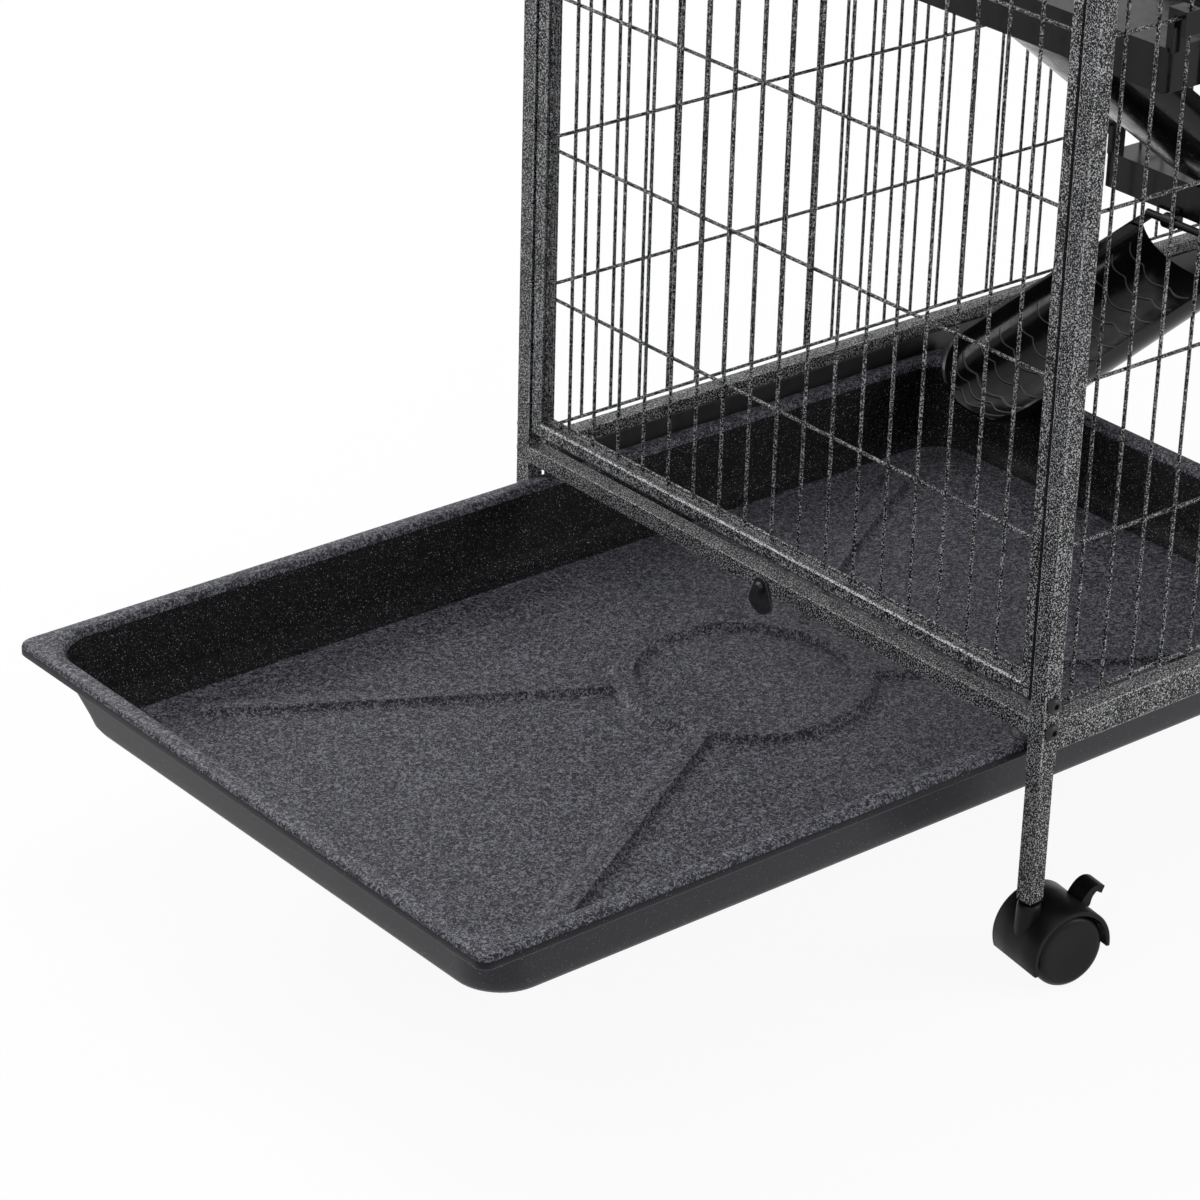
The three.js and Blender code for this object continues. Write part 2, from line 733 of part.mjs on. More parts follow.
// A hanging plate on the exit rail that keeps the closed tray in.
function makeTrayLatch() {
  const outline = new THREE.Shape();
  const top = trayLatch.width * 0.28;
  const low = trayLatch.width / 2;
  const drop = -(trayLatch.length - low);
  outline.absarc(0, drop, low, deg(200), deg(340), false);
  outline.absarc(0, 0, top, deg(20), deg(160), false);
  outline.closePath();
  const hole = new THREE.Path();
  hole.absarc(0, 0, trayLatch.hole / 2, 0, 2 * Math.PI, true);
  outline.holes.push(hole);
  const plate = new THREE.ExtrudeGeometry(outline, {
    depth: trayLatch.thick,
    bevelEnabled: false,
    curveSegments: 6,
  });
  plate.rotateX(Math.PI / 2).rotateZ(-Math.PI / 2);
  const solid = toSolid(plate);
  place("tray_latch", solid, hammertone(), [-fitGap, -cageWidth / 2, -trayLatch.pivotDrop]);
  const screwX = -2 * fitGap - trayLatch.thick;
  const head = makeScrewSolid(latchScrew, latchScrew.reach);
  const turn = [0, -Math.PI / 2, 0];
  place("tray_latch_screw", head, blackScrew(), [screwX, -cageWidth / 2, -trayLatch.pivotDrop], turn);
}

// ---------------------------------------------------------------- shelves

function shelfTopOf(size) {
  return rowHeights[size.row] - shelf.dropFromRow;
}

// One hook over a level wire, local to the shelf's top middle; side is -1 or 1 along Y.
function shelfHook(startX, side, uprightXs) {
  const edge = shelf.width / 2;
  const wireY = cageWidth / 2 - mesh.depth - layerOffset;
  const wireZ = shelf.dropFromRow;
  const above = wireZ + wire.diameter / 2 + fitGap;
  const outerFace = cageWidth / 2 - 0.6;
  const leg0 = outerFace - shelf.hookWall + 0.4;
  const endX = startX + shelf.hookWidth;
  const between = (lowX, lowY, lowZ, highX, highY, highZ) => {
    const ys = [side * lowY, side * highY].sort((a, b) => a - b);
    return boxBetween([lowX, ys[0], lowZ], [highX, ys[1], highZ]);
  };
  const innerLeg = wireY - wire.diameter / 2 - fitGap;
  const pieces = [
    between(startX, edge - shelf.hookWall, -shelf.thick, endX, innerLeg, above + shelf.hookRise),
    between(startX, edge - shelf.hookWall, above, endX, outerFace, above + shelf.hookRise),
    between(startX, leg0, wireZ - shelf.hookTip, endX, outerFace, above + shelf.hookRise),
  ];
  const slotHalf = wire.diameter / 2 + fitGap;
  const uprightY = cageWidth / 2 - mesh.depth + layerOffset;
  const slotTop = above + 2 * shelf.hookRise;
  const slots = uprightXs.map((x) =>
    between(x - slotHalf, uprightY - slotHalf, 0, x + slotHalf, uprightY + slotHalf, slotTop),
  );
  return cut(fuse(pieces), slots);
}

function makeShelf(name, size, rampY, rodSide) {
  const half = shelf.width / 2;
  const { length } = size;
  const outer = boxBetween([0, -half, -shelf.apron], [length, half, 0]);
  const wall = shelf.thick;
  const hollow = boxBetween([wall, -half + wall, -shelf.apron - 1], [length - wall, half - wall, -wall]);
  let solid = cut(toSolid(outer), [hollow]);
  const uprights = Array.from({ length: sideWires }, (_, i) => sideUprightX(i) - size.start);
  for (const side of [-1, 1]) {
    for (const x of [shelf.hookInset, length - shelf.hookInset - shelf.hookWidth]) {
      const near = uprights.filter((at) => at > x - 3 && at < x + shelf.hookWidth + 3);
      solid = solid.add(shelfHook(x, side, near));
    }
  }
  const rodX = rodSide < 0 ? -shelf.rodReach : length + shelf.rodReach;
  const apronX = rodSide < 0 ? 0 : length;
  for (const at of [-ringHook.spacing / 2, ringHook.spacing / 2]) {
    const y = rampY + cageWidth / 2 + at - ringHook.width / 2;
    const inner = ramp.rod / 2 + ringHook.gap;
    const ring = ringAbout(ringHook.outer, inner, ringHook.width, 16);
    ring.rotateX(-Math.PI / 2).translate(rodX, y, -shelf.rodDrop);
    const tabX = [rodX - rodSide * 4.4, apronX - rodSide * wall].sort((a, b) => a - b);
    const tab = boxBetween(
      [tabX[0], y, -shelf.rodDrop - 4],
      [tabX[1], y + ringHook.width, -shelf.apron + 6],
    );
    solid = solid.add(toSolid(ring)).add(toSolid(tab));
  }
  place(name, solid, glossBlack(), [size.start, -cageWidth / 2, shelfTopOf(size)]);
}

// ---------------------------------------------------------------- ramps

// A trough local to its hinge rod, reaching along +X with its rims level with the rod.
function troughGeometry(length) {
  const steps = ramp.acrossSteps;
  const rings = [];
  const begin = ramp.startGap;
  for (let k = 0; k <= ramp.alongSteps; k += 1) {
    const bodyShare = 0.4;
    const t = k / ramp.alongSteps;
    const bodyEnd = length - ramp.tongue;
    const x =
      t <= bodyShare
        ? begin + (t / bodyShare) * (bodyEnd - begin)
        : bodyEnd + Math.sin((((t - bodyShare) / (1 - bodyShare)) * Math.PI) / 2) * ramp.tongue;
    const into = Math.max(0, (x - bodyEnd) / ramp.tongue);
    const round = Math.sqrt(Math.max(0, 1 - into * into));
    const narrow = ramp.tongueNarrow + (1 - ramp.tongueNarrow) * round;
    const halfWidth = (ramp.width / 2) * narrow;
    const rise = ramp.tongueRise * into * into;
    const depth = ramp.depth - rise;
    const rimDrop = (depth - ramp.wall) * 0.86 * (1 - round);
    rings.push(troughSection(x, halfWidth, depth, rimDrop, steps));
  }
  return skinOfTrough(rings);
}

// Outer curve from rim to rim under the trough, then the inner curve back.
function troughSection(x, halfWidth, depth, rimDrop, steps) {
  const outer = [];
  const inner = [];
  for (let i = 0; i <= steps; i += 1) {
    const angle = Math.PI * (i / steps);
    const low = Math.sin(angle) ** 0.8;
    const y = -halfWidth * Math.cos(angle);
    outer.push([x, y, -rimDrop - (depth - rimDrop) * low]);
    const innerHalf = halfWidth - ramp.wall;
    const innerDepth = depth - rimDrop - ramp.wall;
    inner.push([x, -innerHalf * Math.cos(angle), -rimDrop - innerDepth * low]);
  }
  return [...outer, ...inner.reverse()];
}

function skinOfTrough(rings) {
  const count = rings[0].length;
  const half = count / 2;
  const index = [];
  for (let r = 0; r + 1 < rings.length; r += 1) {
    for (let i = 0; i < count; i += 1) {
      const a = r * count + i;
      const b = r * count + ((i + 1) % count);
      index.push(a, b, b + count);
      index.push(a, b + count, a + count);
    }
  }
  const last = (rings.length - 1) * count;
  for (let i = 0; i + 1 < half; i += 1) {
    const mate = count - 1 - i;
    index.push(i, mate, i + 1, i + 1, mate, mate - 1);
    index.push(last + i, last + i + 1, last + mate);
    index.push(last + i + 1, last + mate - 1, last + mate);
  }
  const geometry = new THREE.BufferGeometry();
  geometry.setAttribute("position", new THREE.Float32BufferAttribute(rings.flat(2), 3));
  geometry.setIndex(index);
  return geometry;
}

function makeRamp(name, hinge, length, tilt, turn) {
  const half = ramp.width / 2;
  const rod = rodBetween([0, -half + 1, 0], [0, half - 1, 0], ramp.rod, 12);
  const ears = [-1, 1].map((side) => {
    const ys = [side * (half - ramp.ear - 1), side * (half - 1)].sort((a, b) => a - b);
    return boxBetween([-1.5, ys[0], -3.2], [ramp.startGap + 9, ys[1], -0.2]);
  });
  const solid = fuse([troughGeometry(length), rod, ...ears]);
  place(name, solid, glossBlack(), hinge, [0, tilt, turn, "ZYX"]);
}

// Tilt below level of a ramp that hangs at the hinge and whose underside rests on a point.
function tiltToRestOn(reach, drop) {
  const distance = Math.hypot(reach, drop);
  return Math.atan2(drop, reach) - Math.asin((ramp.depth + rampRest) / distance);
}

function makeRamps() {
  const lowerRodX = lowerShelf.start - shelf.rodReach;
  const lowerRodZ = shelfTopOf(lowerShelf) - shelf.rodDrop;
  const rimEdgeX = tray.length - tray.pulledOut - tray.rimWidth + tray.rimRound;
  const lowerTilt = tiltToRestOn(lowerRodX - rimEdgeX, lowerRodZ - tray.rimTop);
  makeRamp("lower_ramp", [lowerRodX, lowerRampY, lowerRodZ], lowerRampLength, lowerTilt, Math.PI);

  const middleRodX = middleShelf.start + middleShelf.length + shelf.rodReach;
  const middleRodZ = shelfTopOf(middleShelf) - shelf.rodDrop;
  const reach = lowerShelf.start + rampLanding - middleRodX;
  const drop = middleRodZ - shelfTopOf(lowerShelf);
  const tipDepth = ramp.depth - ramp.tongueRise + rampRest;
  const longRamp = Math.sqrt(reach * reach + drop * drop - tipDepth * tipDepth);
  const middleTilt = Math.atan2(drop, reach) - Math.asin(tipDepth / Math.hypot(reach, drop));
  makeRamp("middle_ramp", [middleRodX, lowerRampY, middleRodZ], longRamp, middleTilt, 0);

  const upperRodX = upperShelf.start - shelf.rodReach;
  const upperRodZ = shelfTopOf(upperShelf) - shelf.rodDrop;
  const upperReach = upperRodX - (middleShelf.start + middleShelf.length - rampLanding);
  const upperDrop = upperRodZ - shelfTopOf(middleShelf);
  const upperDistance = Math.hypot(upperReach, upperDrop);
  const upperLength = Math.sqrt(upperDistance * upperDistance - tipDepth * tipDepth);
  const upperTilt = Math.atan2(upperDrop, upperReach) - Math.asin(tipDepth / upperDistance);
  makeRamp("upper_ramp", [upperRodX, upperRampY, upperRodZ], upperLength, upperTilt, Math.PI);
}

// ---------------------------------------------------------------- casters

function pointAt(radius, degrees) {
  return new THREE.Vector2(radius * Math.cos(deg(degrees)), radius * Math.sin(deg(degrees)));
}

// An arc-shaped band between two radii and two angles.
function bandOutline(inner, outer, from, to, steps) {
  const points = [];
  for (let i = 0; i <= steps; i += 1) points.push(pointAt(outer, from + ((to - from) * i) / steps));
  for (let i = steps; i >= 0; i -= 1) points.push(pointAt(inner, from + ((to - from) * i) / steps));
  return new THREE.Shape(points);
}

// An outline in X and Z, drawn out along Y over width, centred.
function acrossAxle(outline, width) {
  const made = new THREE.ExtrudeGeometry(outline, { depth: width, bevelEnabled: false, curveSegments: 8 });
  return made.rotateX(Math.PI / 2).translate(0, width / 2, 0);
}

const hoodInner = caster.wheelRadius + caster.hoodGap;
const hoodOuter = hoodInner + caster.hoodWall;

// The stem's seat: it follows the hood's curve underneath and is flat on top.
function bossOutline(top) {
  const radius = (hoodInner + hoodOuter) / 2;
  const half = caster.boss / 2;
  const steps = 4;
  const points = [];
  for (let i = 0; i <= steps; i += 1) {
    const x = -half + (caster.boss * i) / steps;
    points.push(new THREE.Vector2(x, Math.sqrt(radius ** 2 - (x - caster.trail) ** 2)));
  }
  points.push(new THREE.Vector2(half, Math.max(top, points.at(-1).y + 1)));
  points.push(new THREE.Vector2(-half, top));
  return new THREE.Shape(points);
}

// The hood's origin is on the leg's axis at axle height, with the wheel trailing towards +X.
function hoodSolid() {
  const shell = acrossAxle(
    bandOutline(hoodInner, hoodOuter, caster.hoodRear, caster.hoodFront, caster.hoodSteps),
    caster.width,
  );
  const bore = caster.axle / 2 + caster.axleGap;
  const web = acrossAxle(
    bandOutline(bore, hoodInner + 1, caster.webFrom, caster.webTo, caster.hoodSteps),
    caster.web,
  );
  const hubEnd = 360 - caster.hubOpening;
  const hub = acrossAxle(bandOutline(bore, bore + caster.hubWall, 0, hubEnd, caster.hoodSteps), caster.web);
  const toWheel = (piece) => piece.translate(caster.trail, 0, 0);
  const stemTop = leg.bottom - caster.axleHeight;
  const bossTop = stemTop - legInsert.collarHeight - fitGap;
  const boss = acrossAxle(bossOutline(bossTop), caster.boss);
  const stem = rodBetween([0, 0, bossTop - 1], [0, 0, stemTop + caster.stemReach], caster.stem, 10);
  let solid = toSolid(boss);
  for (const piece of [toWheel(shell), toWheel(web), toWheel(hub), stem]) {
    solid = solid.add(toSolid(piece));
  }
  const slotHalf = brake.width / 2 + brake.slotGap;
  const slot = bandOutline(hoodInner - 4, hoodOuter + 4, brake.angle - 12, brake.angle + 12, 3);
  return cut(solid, [toWheel(acrossAxle(slot, 2 * slotHalf))]);
}

// Two discs on one axle, which runs through the hood's web.
function wheelSolid() {
  const radius = caster.wheelRadius;
  const face = caster.width / 2 - caster.wheelInset;
  const inner = caster.web / 2 + caster.sideGap;
  const axle = caster.axle / 2;
  const half = [
    [0, face],
    [radius - caster.chamfer, face],
    [radius, face - caster.chamfer],
    [radius, inner],
    [axle, inner],
  ];
  const otherHalf = half.map(([r, y]) => [r, -y]).reverse();
  const lathe = turned([...half, ...otherHalf].reverse(), caster.wheelSides);
  return toSolid(lathe.rotateX(Math.PI / 2));
}

// The brake tab: a knuckle in the hood's slot with a curved toe plate that stands out behind.
function brakeSolid() {
  const outline = new THREE.Shape();
  const { knuckle, reach, thick } = brake;
  outline.moveTo(-knuckle, 0);
  outline.lineTo(0, -knuckle);
  outline.lineTo(knuckle, 0);
  outline.quadraticCurveTo(knuckle + 1, reach * 0.45, reach * 0.55, reach * 0.55);
  outline.lineTo(reach * 0.8, reach * 0.4);
  outline.lineTo(reach * 0.95, reach * 0.72);
  outline.quadraticCurveTo(reach * 0.3, reach * 1.15, -knuckle + 0.4, thick);
  outline.closePath();
  return toSolid(acrossAxle(outline, brake.width));
}

function makeCaster(cornerAt, turnDegrees) {
  const turn = deg(turnDegrees);
  const height = caster.axleHeight;
  const local = (x, z) => [cornerAt.x + x * Math.cos(turn), cornerAt.y + x * Math.sin(turn), height + z];
  const name = cornerAt.name;
  place("caster_hood_" + name, hoodSolid(), satinBlack(), local(0, 0), [0, 0, turn]);
  place("caster_wheel_" + name, wheelSolid(), satinBlack(), local(caster.trail, 0), [0, 0, turn]);
  const pivot = pointAt((hoodInner + hoodOuter) / 2 + 0.8, brake.angle);
  const at = local(caster.trail + pivot.x, pivot.y);
  place("brake_lever_" + name, brakeSolid(), satinBlack(), at, [0, 0, turn]);
}

// ---------------------------------------------------------------- assembly

corners.forEach((cornerAt, k) => {
  makePost(cornerAt);
  makeLeg(cornerAt);
  makeLegInsert(cornerAt);
  makeCornerScrews(cornerAt);
  makeCaster(cornerAt, casterTurns[k]);
});

const latchHole = rodBetween(
  [-endRail.size, 0, endRail.height / 2 - trayLatch.pivotDrop],
  [0, 0, endRail.height / 2 - trayLatch.pivotDrop],
  latchScrew.shank + 2 * screwHoleGap,
  latchScrew.sides,
);
makeEndRail("end_rail_exit", endRail.size / 2, latchHole);
makeEndRail("end_rail_far", cageLength - endRail.size / 2, null);
makeSideRail("side_rail_front", -cageWidth + sideRail.size / 2);
makeSideRail("side_rail_back", -sideRail.size / 2);
makeRunner("tray_runner_front", 1);
makeRunner("tray_runner_back", -1);
makeEndPanel("end_panel_exit", mesh.depth, -1);
makeEndPanel("end_panel_far", cageLength - mesh.depth, 1);
makeBackMesh();
makeFrontMesh();
makeDoor("lower_door", openings[0]);
makeDoor("upper_door", openings[1]);
makeTurnLatch("lower_door_latch", openings[0]);
makeTurnLatch("upper_door_latch", openings[1]);
makeTopPanel();
makeTray();
makeTrayLatch();
makeShelf("lower_shelf", lowerShelf, lowerRampY, -1);
makeShelf("middle_shelf", middleShelf, lowerRampY, 1);
makeShelf("upper_shelf", upperShelf, upperRampY, -1);
makeRamps();

cage.updateMatrixWorld(true);
const bounds = new THREE.Box3().setFromObject(cage, true);
const centre = bounds.getCenter(new THREE.Vector3());
cage.position.set(-centre.x, -centre.y, -bounds.min.z);

const group = new THREE.Group();
group.name = "pet_cage";
group.add(cage);

export default group;
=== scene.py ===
"""A tall wire pet cage on casters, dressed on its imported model, with its tray pulled out."""

import json
import math

import bmesh
import bpy
from mathutils import Matrix, Vector
from mathutils.geometry import delaunay_2d_cdt


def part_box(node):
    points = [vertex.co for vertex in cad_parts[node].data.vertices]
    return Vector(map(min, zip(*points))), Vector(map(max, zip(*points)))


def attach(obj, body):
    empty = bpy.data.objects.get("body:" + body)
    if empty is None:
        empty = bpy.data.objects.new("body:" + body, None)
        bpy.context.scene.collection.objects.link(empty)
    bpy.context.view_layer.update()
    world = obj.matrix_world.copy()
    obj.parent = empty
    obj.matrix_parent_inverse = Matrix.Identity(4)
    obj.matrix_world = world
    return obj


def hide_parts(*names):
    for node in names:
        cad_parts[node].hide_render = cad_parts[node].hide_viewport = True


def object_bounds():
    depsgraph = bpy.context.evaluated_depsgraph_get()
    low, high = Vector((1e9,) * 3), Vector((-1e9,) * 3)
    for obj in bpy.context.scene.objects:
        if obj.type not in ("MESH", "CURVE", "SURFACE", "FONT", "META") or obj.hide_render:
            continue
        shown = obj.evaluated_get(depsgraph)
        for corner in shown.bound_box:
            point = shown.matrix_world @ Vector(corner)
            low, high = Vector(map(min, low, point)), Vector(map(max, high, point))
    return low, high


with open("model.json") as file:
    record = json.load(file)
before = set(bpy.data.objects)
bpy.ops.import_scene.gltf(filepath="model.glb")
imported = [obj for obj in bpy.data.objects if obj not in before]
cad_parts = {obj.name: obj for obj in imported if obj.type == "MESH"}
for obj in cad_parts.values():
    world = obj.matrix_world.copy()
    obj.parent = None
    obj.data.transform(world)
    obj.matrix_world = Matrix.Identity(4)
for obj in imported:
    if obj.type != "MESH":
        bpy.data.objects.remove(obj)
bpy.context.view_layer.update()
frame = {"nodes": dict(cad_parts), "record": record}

# ------------------------------------------------------------------ places and sizes
# Sizes are in millimetres. The cage's own zero is the outer corner of the exit end and the
# back, level with the top of the lower rails.

MM = 0.001
BACK_POST_LOW, BACK_POST_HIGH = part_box("post_exit_back")
LOWER_RAIL_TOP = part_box("end_rail_exit")[1][2]
ZERO = Vector((BACK_POST_LOW[0], BACK_POST_HIGH[1], LOWER_RAIL_TOP))


def at(x, y, z):
    """A point of the cage, in metres, in the row frame."""
    return ZERO + Vector((x, y, z)) * MM


def in_cage(point):
    """A point of the row frame, in the cage's own millimetres."""
    return (Vector(point) - ZERO) / MM


def cage_box(name):
    """A node's lowest and highest corners, in the cage's own millimetres."""
    low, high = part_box(name)
    return in_cage(low), in_cage(high)


LENGTH = cage_box("post_far_back")[1].x
WIDTH = -cage_box("post_exit_front")[0].y
POST = cage_box("post_exit_back")[1].x
POST_TOP = cage_box("post_exit_back")[1].z
PITCH = 25.4  # between upright wires
ROW_PITCH = 103.8  # between level wires
FIRST_ROW = 110.9
ROWS = [FIRST_ROW + k * ROW_PITCH for k in range(10)]
MESH_DEPTH = 6.3  # from the cage's faces to the middle of its wires
WIRE = 2.4
LAYER = WIRE * 0.46  # half the step from the upright wires to the level ones
BORDER = 7.6  # from a side's lower and upper edge to its border wires
FIRST_Z = BORDER
LAST_Z = POST_TOP - BORDER
SIDE_START = 26.2
SIDE_WIRES = 31
END_WIRES = 19
DOOR_FIRST_WIRE, DOOR_LAST_WIRE = 9, 20
DOOR_LEFT = SIDE_START + DOOR_FIRST_WIRE * PITCH
DOOR_RIGHT = SIDE_START + DOOR_LAST_WIRE * PITCH
DOOR_ROD = 5.0
OPENINGS = ((ROWS[0], ROWS[4]), (ROWS[5], ROWS[9]))
CORNERS = ("exit_front", "exit_back", "far_front", "far_back")

# ------------------------------------------------------------------ camera

CAMERA_PLACE = (-1595.96, -2002.72, 1166.08)
CAMERA_TURN = -39.8716  # degrees, as are the two below
CAMERA_TILT = 26.6451
CAMERA_ROLL = 1.543
CAMERA_REACH = 50  # metres
LENS = 125.054
SENSOR = 36.0


def add_camera():
    data = bpy.data.cameras.new("photo_camera")
    data.lens = LENS
    data.sensor_width = SENSOR
    data.sensor_fit = "HORIZONTAL"
    data.clip_end = CAMERA_REACH
    camera = bpy.data.objects.new("photo_camera", data)
    turn = Matrix.Rotation(math.radians(CAMERA_TURN), 4, "Z")
    tilt = Matrix.Rotation(math.radians(90 - CAMERA_TILT), 4, "X")
    roll = Matrix.Rotation(math.radians(CAMERA_ROLL), 4, "Z")
    camera.matrix_world = Matrix.Translation(at(*CAMERA_PLACE)) @ turn @ tilt @ roll
    bpy.context.scene.collection.objects.link(camera)
    bpy.context.scene.camera = camera


add_camera()

# ------------------------------------------------------------------ materials


class Shader:
    """A short way to build one material's nodes."""

    def __init__(self, name):
        self.material = bpy.data.materials.new(name)
        self.material.use_nodes = True
        self.tree = self.material.node_tree
        self.surface = self.tree.nodes["Principled BSDF"]
        coordinates = self.tree.nodes.new("ShaderNodeTexCoord")
        self.place = coordinates.outputs["Object"]

    def node(self, kind, inputs=(), **settings):
        made = self.tree.nodes.new(kind)
        for key, value in settings.items():
            setattr(made, key, value)
        for key, value in dict(inputs).items():
            self.feed(made, key, value)
        return made

    def feed(self, node, key, value):
        if isinstance(value, bpy.types.NodeSocket):
            self.tree.links.new(value, node.inputs[key])
        else:
            node.inputs[key].default_value = value

    def set(self, **values):
        for key, value in values.items():
            self.feed(self.surface, key.replace("_", " "), value)

    def noise(self, scale, detail=2.0, roughness=0.5, distortion=0.0):
        inputs = {
            "Vector": self.place,
            "Scale": scale,
            "Detail": detail,
            "Roughness": roughness,
            "Distortion": distortion,
        }
        return self.node("ShaderNodeTexNoise", inputs).outputs["Fac"]

    def ramp(self, factor, stops):
        """A colour or grey for each value, from (value, colour) stops."""
        made = self.node("ShaderNodeValToRGB", {"Fac": factor})
        ramp = made.color_ramp
        while len(ramp.elements) < len(stops):
            ramp.elements.new(0.5)
        for element, (position, colour) in zip(ramp.elements, stops):
            element.position = position
            shade = (colour,) * 3 if isinstance(colour, (int, float)) else colour
            element.color = (*shade, 1.0)
        return made.outputs["Color"]

    def mix(self, factor, first, second):
        inputs = {0: factor, 6: first, 7: (*second, 1.0)}
        return self.node("ShaderNodeMix", inputs, data_type="RGBA").outputs[2]

    def math(self, operation, first, second=0.0, third=0.0):
        inputs = {0: first, 1: second, 2: third}
        return self.node("ShaderNodeMath", inputs, operation=operation).outputs[0]

    def bump(self, height, distance, strength=1.0, normal=None):
        inputs = {"Height": height, "Distance": distance, "Strength": strength}
        if normal is not None:
            inputs["Normal"] = normal
        return self.node("ShaderNodeBump", inputs).outputs["Normal"]


def hammertone_material(name="hammertone", painted_light=0.0):
    """Black powder coat with silver specks a millimetre across; a positive shift adds specks as a
    painted highlight, a negative one takes specks away as painted shade.
    """
    made = Shader(name)
    specks = made.noise(1080, detail=1.4, roughness=0.5, distortion=0.7)
    broad = made.noise(45, detail=1.0)
    shifted = made.math("MULTIPLY_ADD", broad, 0.08, made.math("ADD", specks, painted_light - 0.04))
    colour = made.ramp(
        shifted,
        [
            (0.505, (0.003, 0.003, 0.004)),
            (0.535, (0.011, 0.011, 0.013)),
            (0.575, (0.29, 0.29, 0.29)),
            (0.63, (0.52, 0.52, 0.515)),
        ],
    )
    metal = made.ramp(shifted, [(0.52, 0.0), (0.62, 0.15)])
    made.set(Base_Color=colour, Metallic=metal, Roughness=0.45, Specular_IOR_Level=0.15)
    made.set(Normal=made.bump(specks, 0.0005, 0.7))
    return made.material


def tray_material(name="tray_plastic", light=1.0, glint=0.0, gloss=0.16):
    """Charcoal plastic with a leathery moulded grain; light scales its colour, for lighter and darker
    copies that are painted light and painted shade, and glint raises its painted glints.
    """
    made = Shader(name)
    wrinkles = made.noise(420, detail=2.4, roughness=0.6, distortion=1.4)
    fine = made.noise(1500, detail=2.0, roughness=0.6)
    patches = made.noise(7, detail=3.0)
    # bright grains mixed into the colour: painted glints
    painted_glint = made.ramp(made.noise(1250, detail=1.0), [(0.70 - glint, 0.0), (0.74 - glint, 1.0)])
    tones = [
        (0.41, (0.006, 0.006, 0.009)),
        (0.50, (0.024, 0.024, 0.030)),
        (0.61, (0.140, 0.141, 0.157)),
    ]
    lit = [(spot, tuple(light * part for part in tone)) for spot, tone in tones]
    colour = made.mix(painted_glint, made.ramp(wrinkles, lit), (0.34, 0.34, 0.36))
    rough = made.ramp(patches, [(0.3, 0.40), (0.7, 0.52)])
    made.set(Base_Color=colour, Roughness=rough, Specular_IOR_Level=gloss)
    first = made.bump(wrinkles, 0.0008, 0.8)
    made.set(Normal=made.bump(fine, 0.0002, 0.5, first))
    return made.material


def tray_wall_material():
    """The tray's smoother outside walls and rolled edge, with a few painted glints."""
    made = Shader("tray_wall_plastic")
    fine = made.noise(900, detail=2.0)
    streaks = made.noise(12, detail=2.0)
    # bright grains mixed into the colour: painted glints
    painted_glint = made.ramp(made.noise(1150, detail=1.0), [(0.72, 0.0), (0.75, 1.0)])
    ground = made.ramp(streaks, [(0.3, (0.006, 0.006, 0.009)), (0.7, (0.010, 0.010, 0.014))])
    colour = made.mix(painted_glint, ground, (0.25, 0.25, 0.27))
    made.set(Base_Color=colour, Roughness=0.42, Specular_IOR_Level=0.14)
    made.set(Normal=made.bump(fine, 0.00012, 0.5))
    return made.material


def gloss_material(name="gloss_black", light=1.0):
    """Glossy black plastic with faint scuffs; light scales its colour, and a copy made much lighter
    is a painted highlight.
    """
    made = Shader(name)
    scuffs = made.noise(120, detail=4.0, roughness=0.7)
    haze = made.noise(12, detail=2.0)
    rough = made.ramp(scuffs, [(0.45, 0.14), (0.72, 0.30)])
    colour = made.ramp(haze, [(0.3, 0.0032 * light), (0.7, 0.0062 * light)])
    made.set(Base_Color=colour, Roughness=rough, Specular_IOR_Level=0.19)
    made.set(Normal=made.bump(haze, 0.0012, 0.25))
    return made.material


def satin_material():
    """Satin black moulded plastic."""
    made = Shader("satin_black")
    grain = made.noise(1500, detail=2.0)
    haze = made.noise(40, detail=3.0)
    colour = made.ramp(haze, [(0.3, (0.005, 0.005, 0.0055)), (0.7, (0.008, 0.008, 0.0085))])
    rough = made.ramp(haze, [(0.3, 0.34), (0.7, 0.46)])
    made.set(Base_Color=colour, Roughness=rough, Specular_IOR_Level=0.15)
    made.set(Normal=made.bump(grain, 0.00008, 0.5))
    return made.material


def screw_material():
    """Black oxide steel."""
    made = Shader("black_screw")
    haze = made.noise(300, detail=3.0)
    colour = made.ramp(haze, [(0.3, (0.016, 0.016, 0.017)), (0.7, (0.035, 0.035, 0.036))])
    made.set(Base_Color=colour, Roughness=0.36, Metallic=0.2, Specular_IOR_Level=0.3)
    made.set(Normal=made.bump(haze, 0.0001, 0.4))
    return made.material


def runner_material():
    """Black paint on folded sheet steel."""
    made = Shader("runner_steel")
    haze = made.noise(90, detail=3.0)
    colour = made.ramp(haze, [(0.3, (0.010, 0.010, 0.010)), (0.7, (0.020, 0.020, 0.021))])
    made.set(Base_Color=colour, Roughness=0.45)
    made.set(Normal=made.bump(haze, 0.0002, 0.4))
    return made.material


HAMMERTONE = hammertone_material()
# a lighter copy of the powder coat: a painted highlight on rounded edges
EDGE_HIGHLIGHT = hammertone_material("painted_edge_highlight", 0.075)
# a darker copy of the powder coat: painted shade on end panel edges beside the posts and rails
SEAM_PAINTED_SHADE = hammertone_material("seam_painted_shade", -0.16)
TRAY = tray_material()
TRAY_WALL = tray_wall_material()
# a lighter copy of the tray's plastic: painted light on the rim
TRAY_RIM_PAINTED_LIGHT = tray_material("tray_rim_painted_light", 1.15, 0.01)
# a much darker copy with more glints: painted shade and painted glints on the inner walls
TRAY_INSIDE_PAINTED_SHADE = tray_material("tray_inside_wall_painted_shade", 0.07, 0.02, 0.09)
GLOSS = gloss_material()
# a much lighter copy of the gloss: a painted highlight on the ramps' treads
TREAD_HIGHLIGHT = gloss_material("tread_painted_highlight", 20.0)
SATIN = satin_material()
SCREW = screw_material()
RUNNER = runner_material()

# ------------------------------------------------------------------ mesh helpers

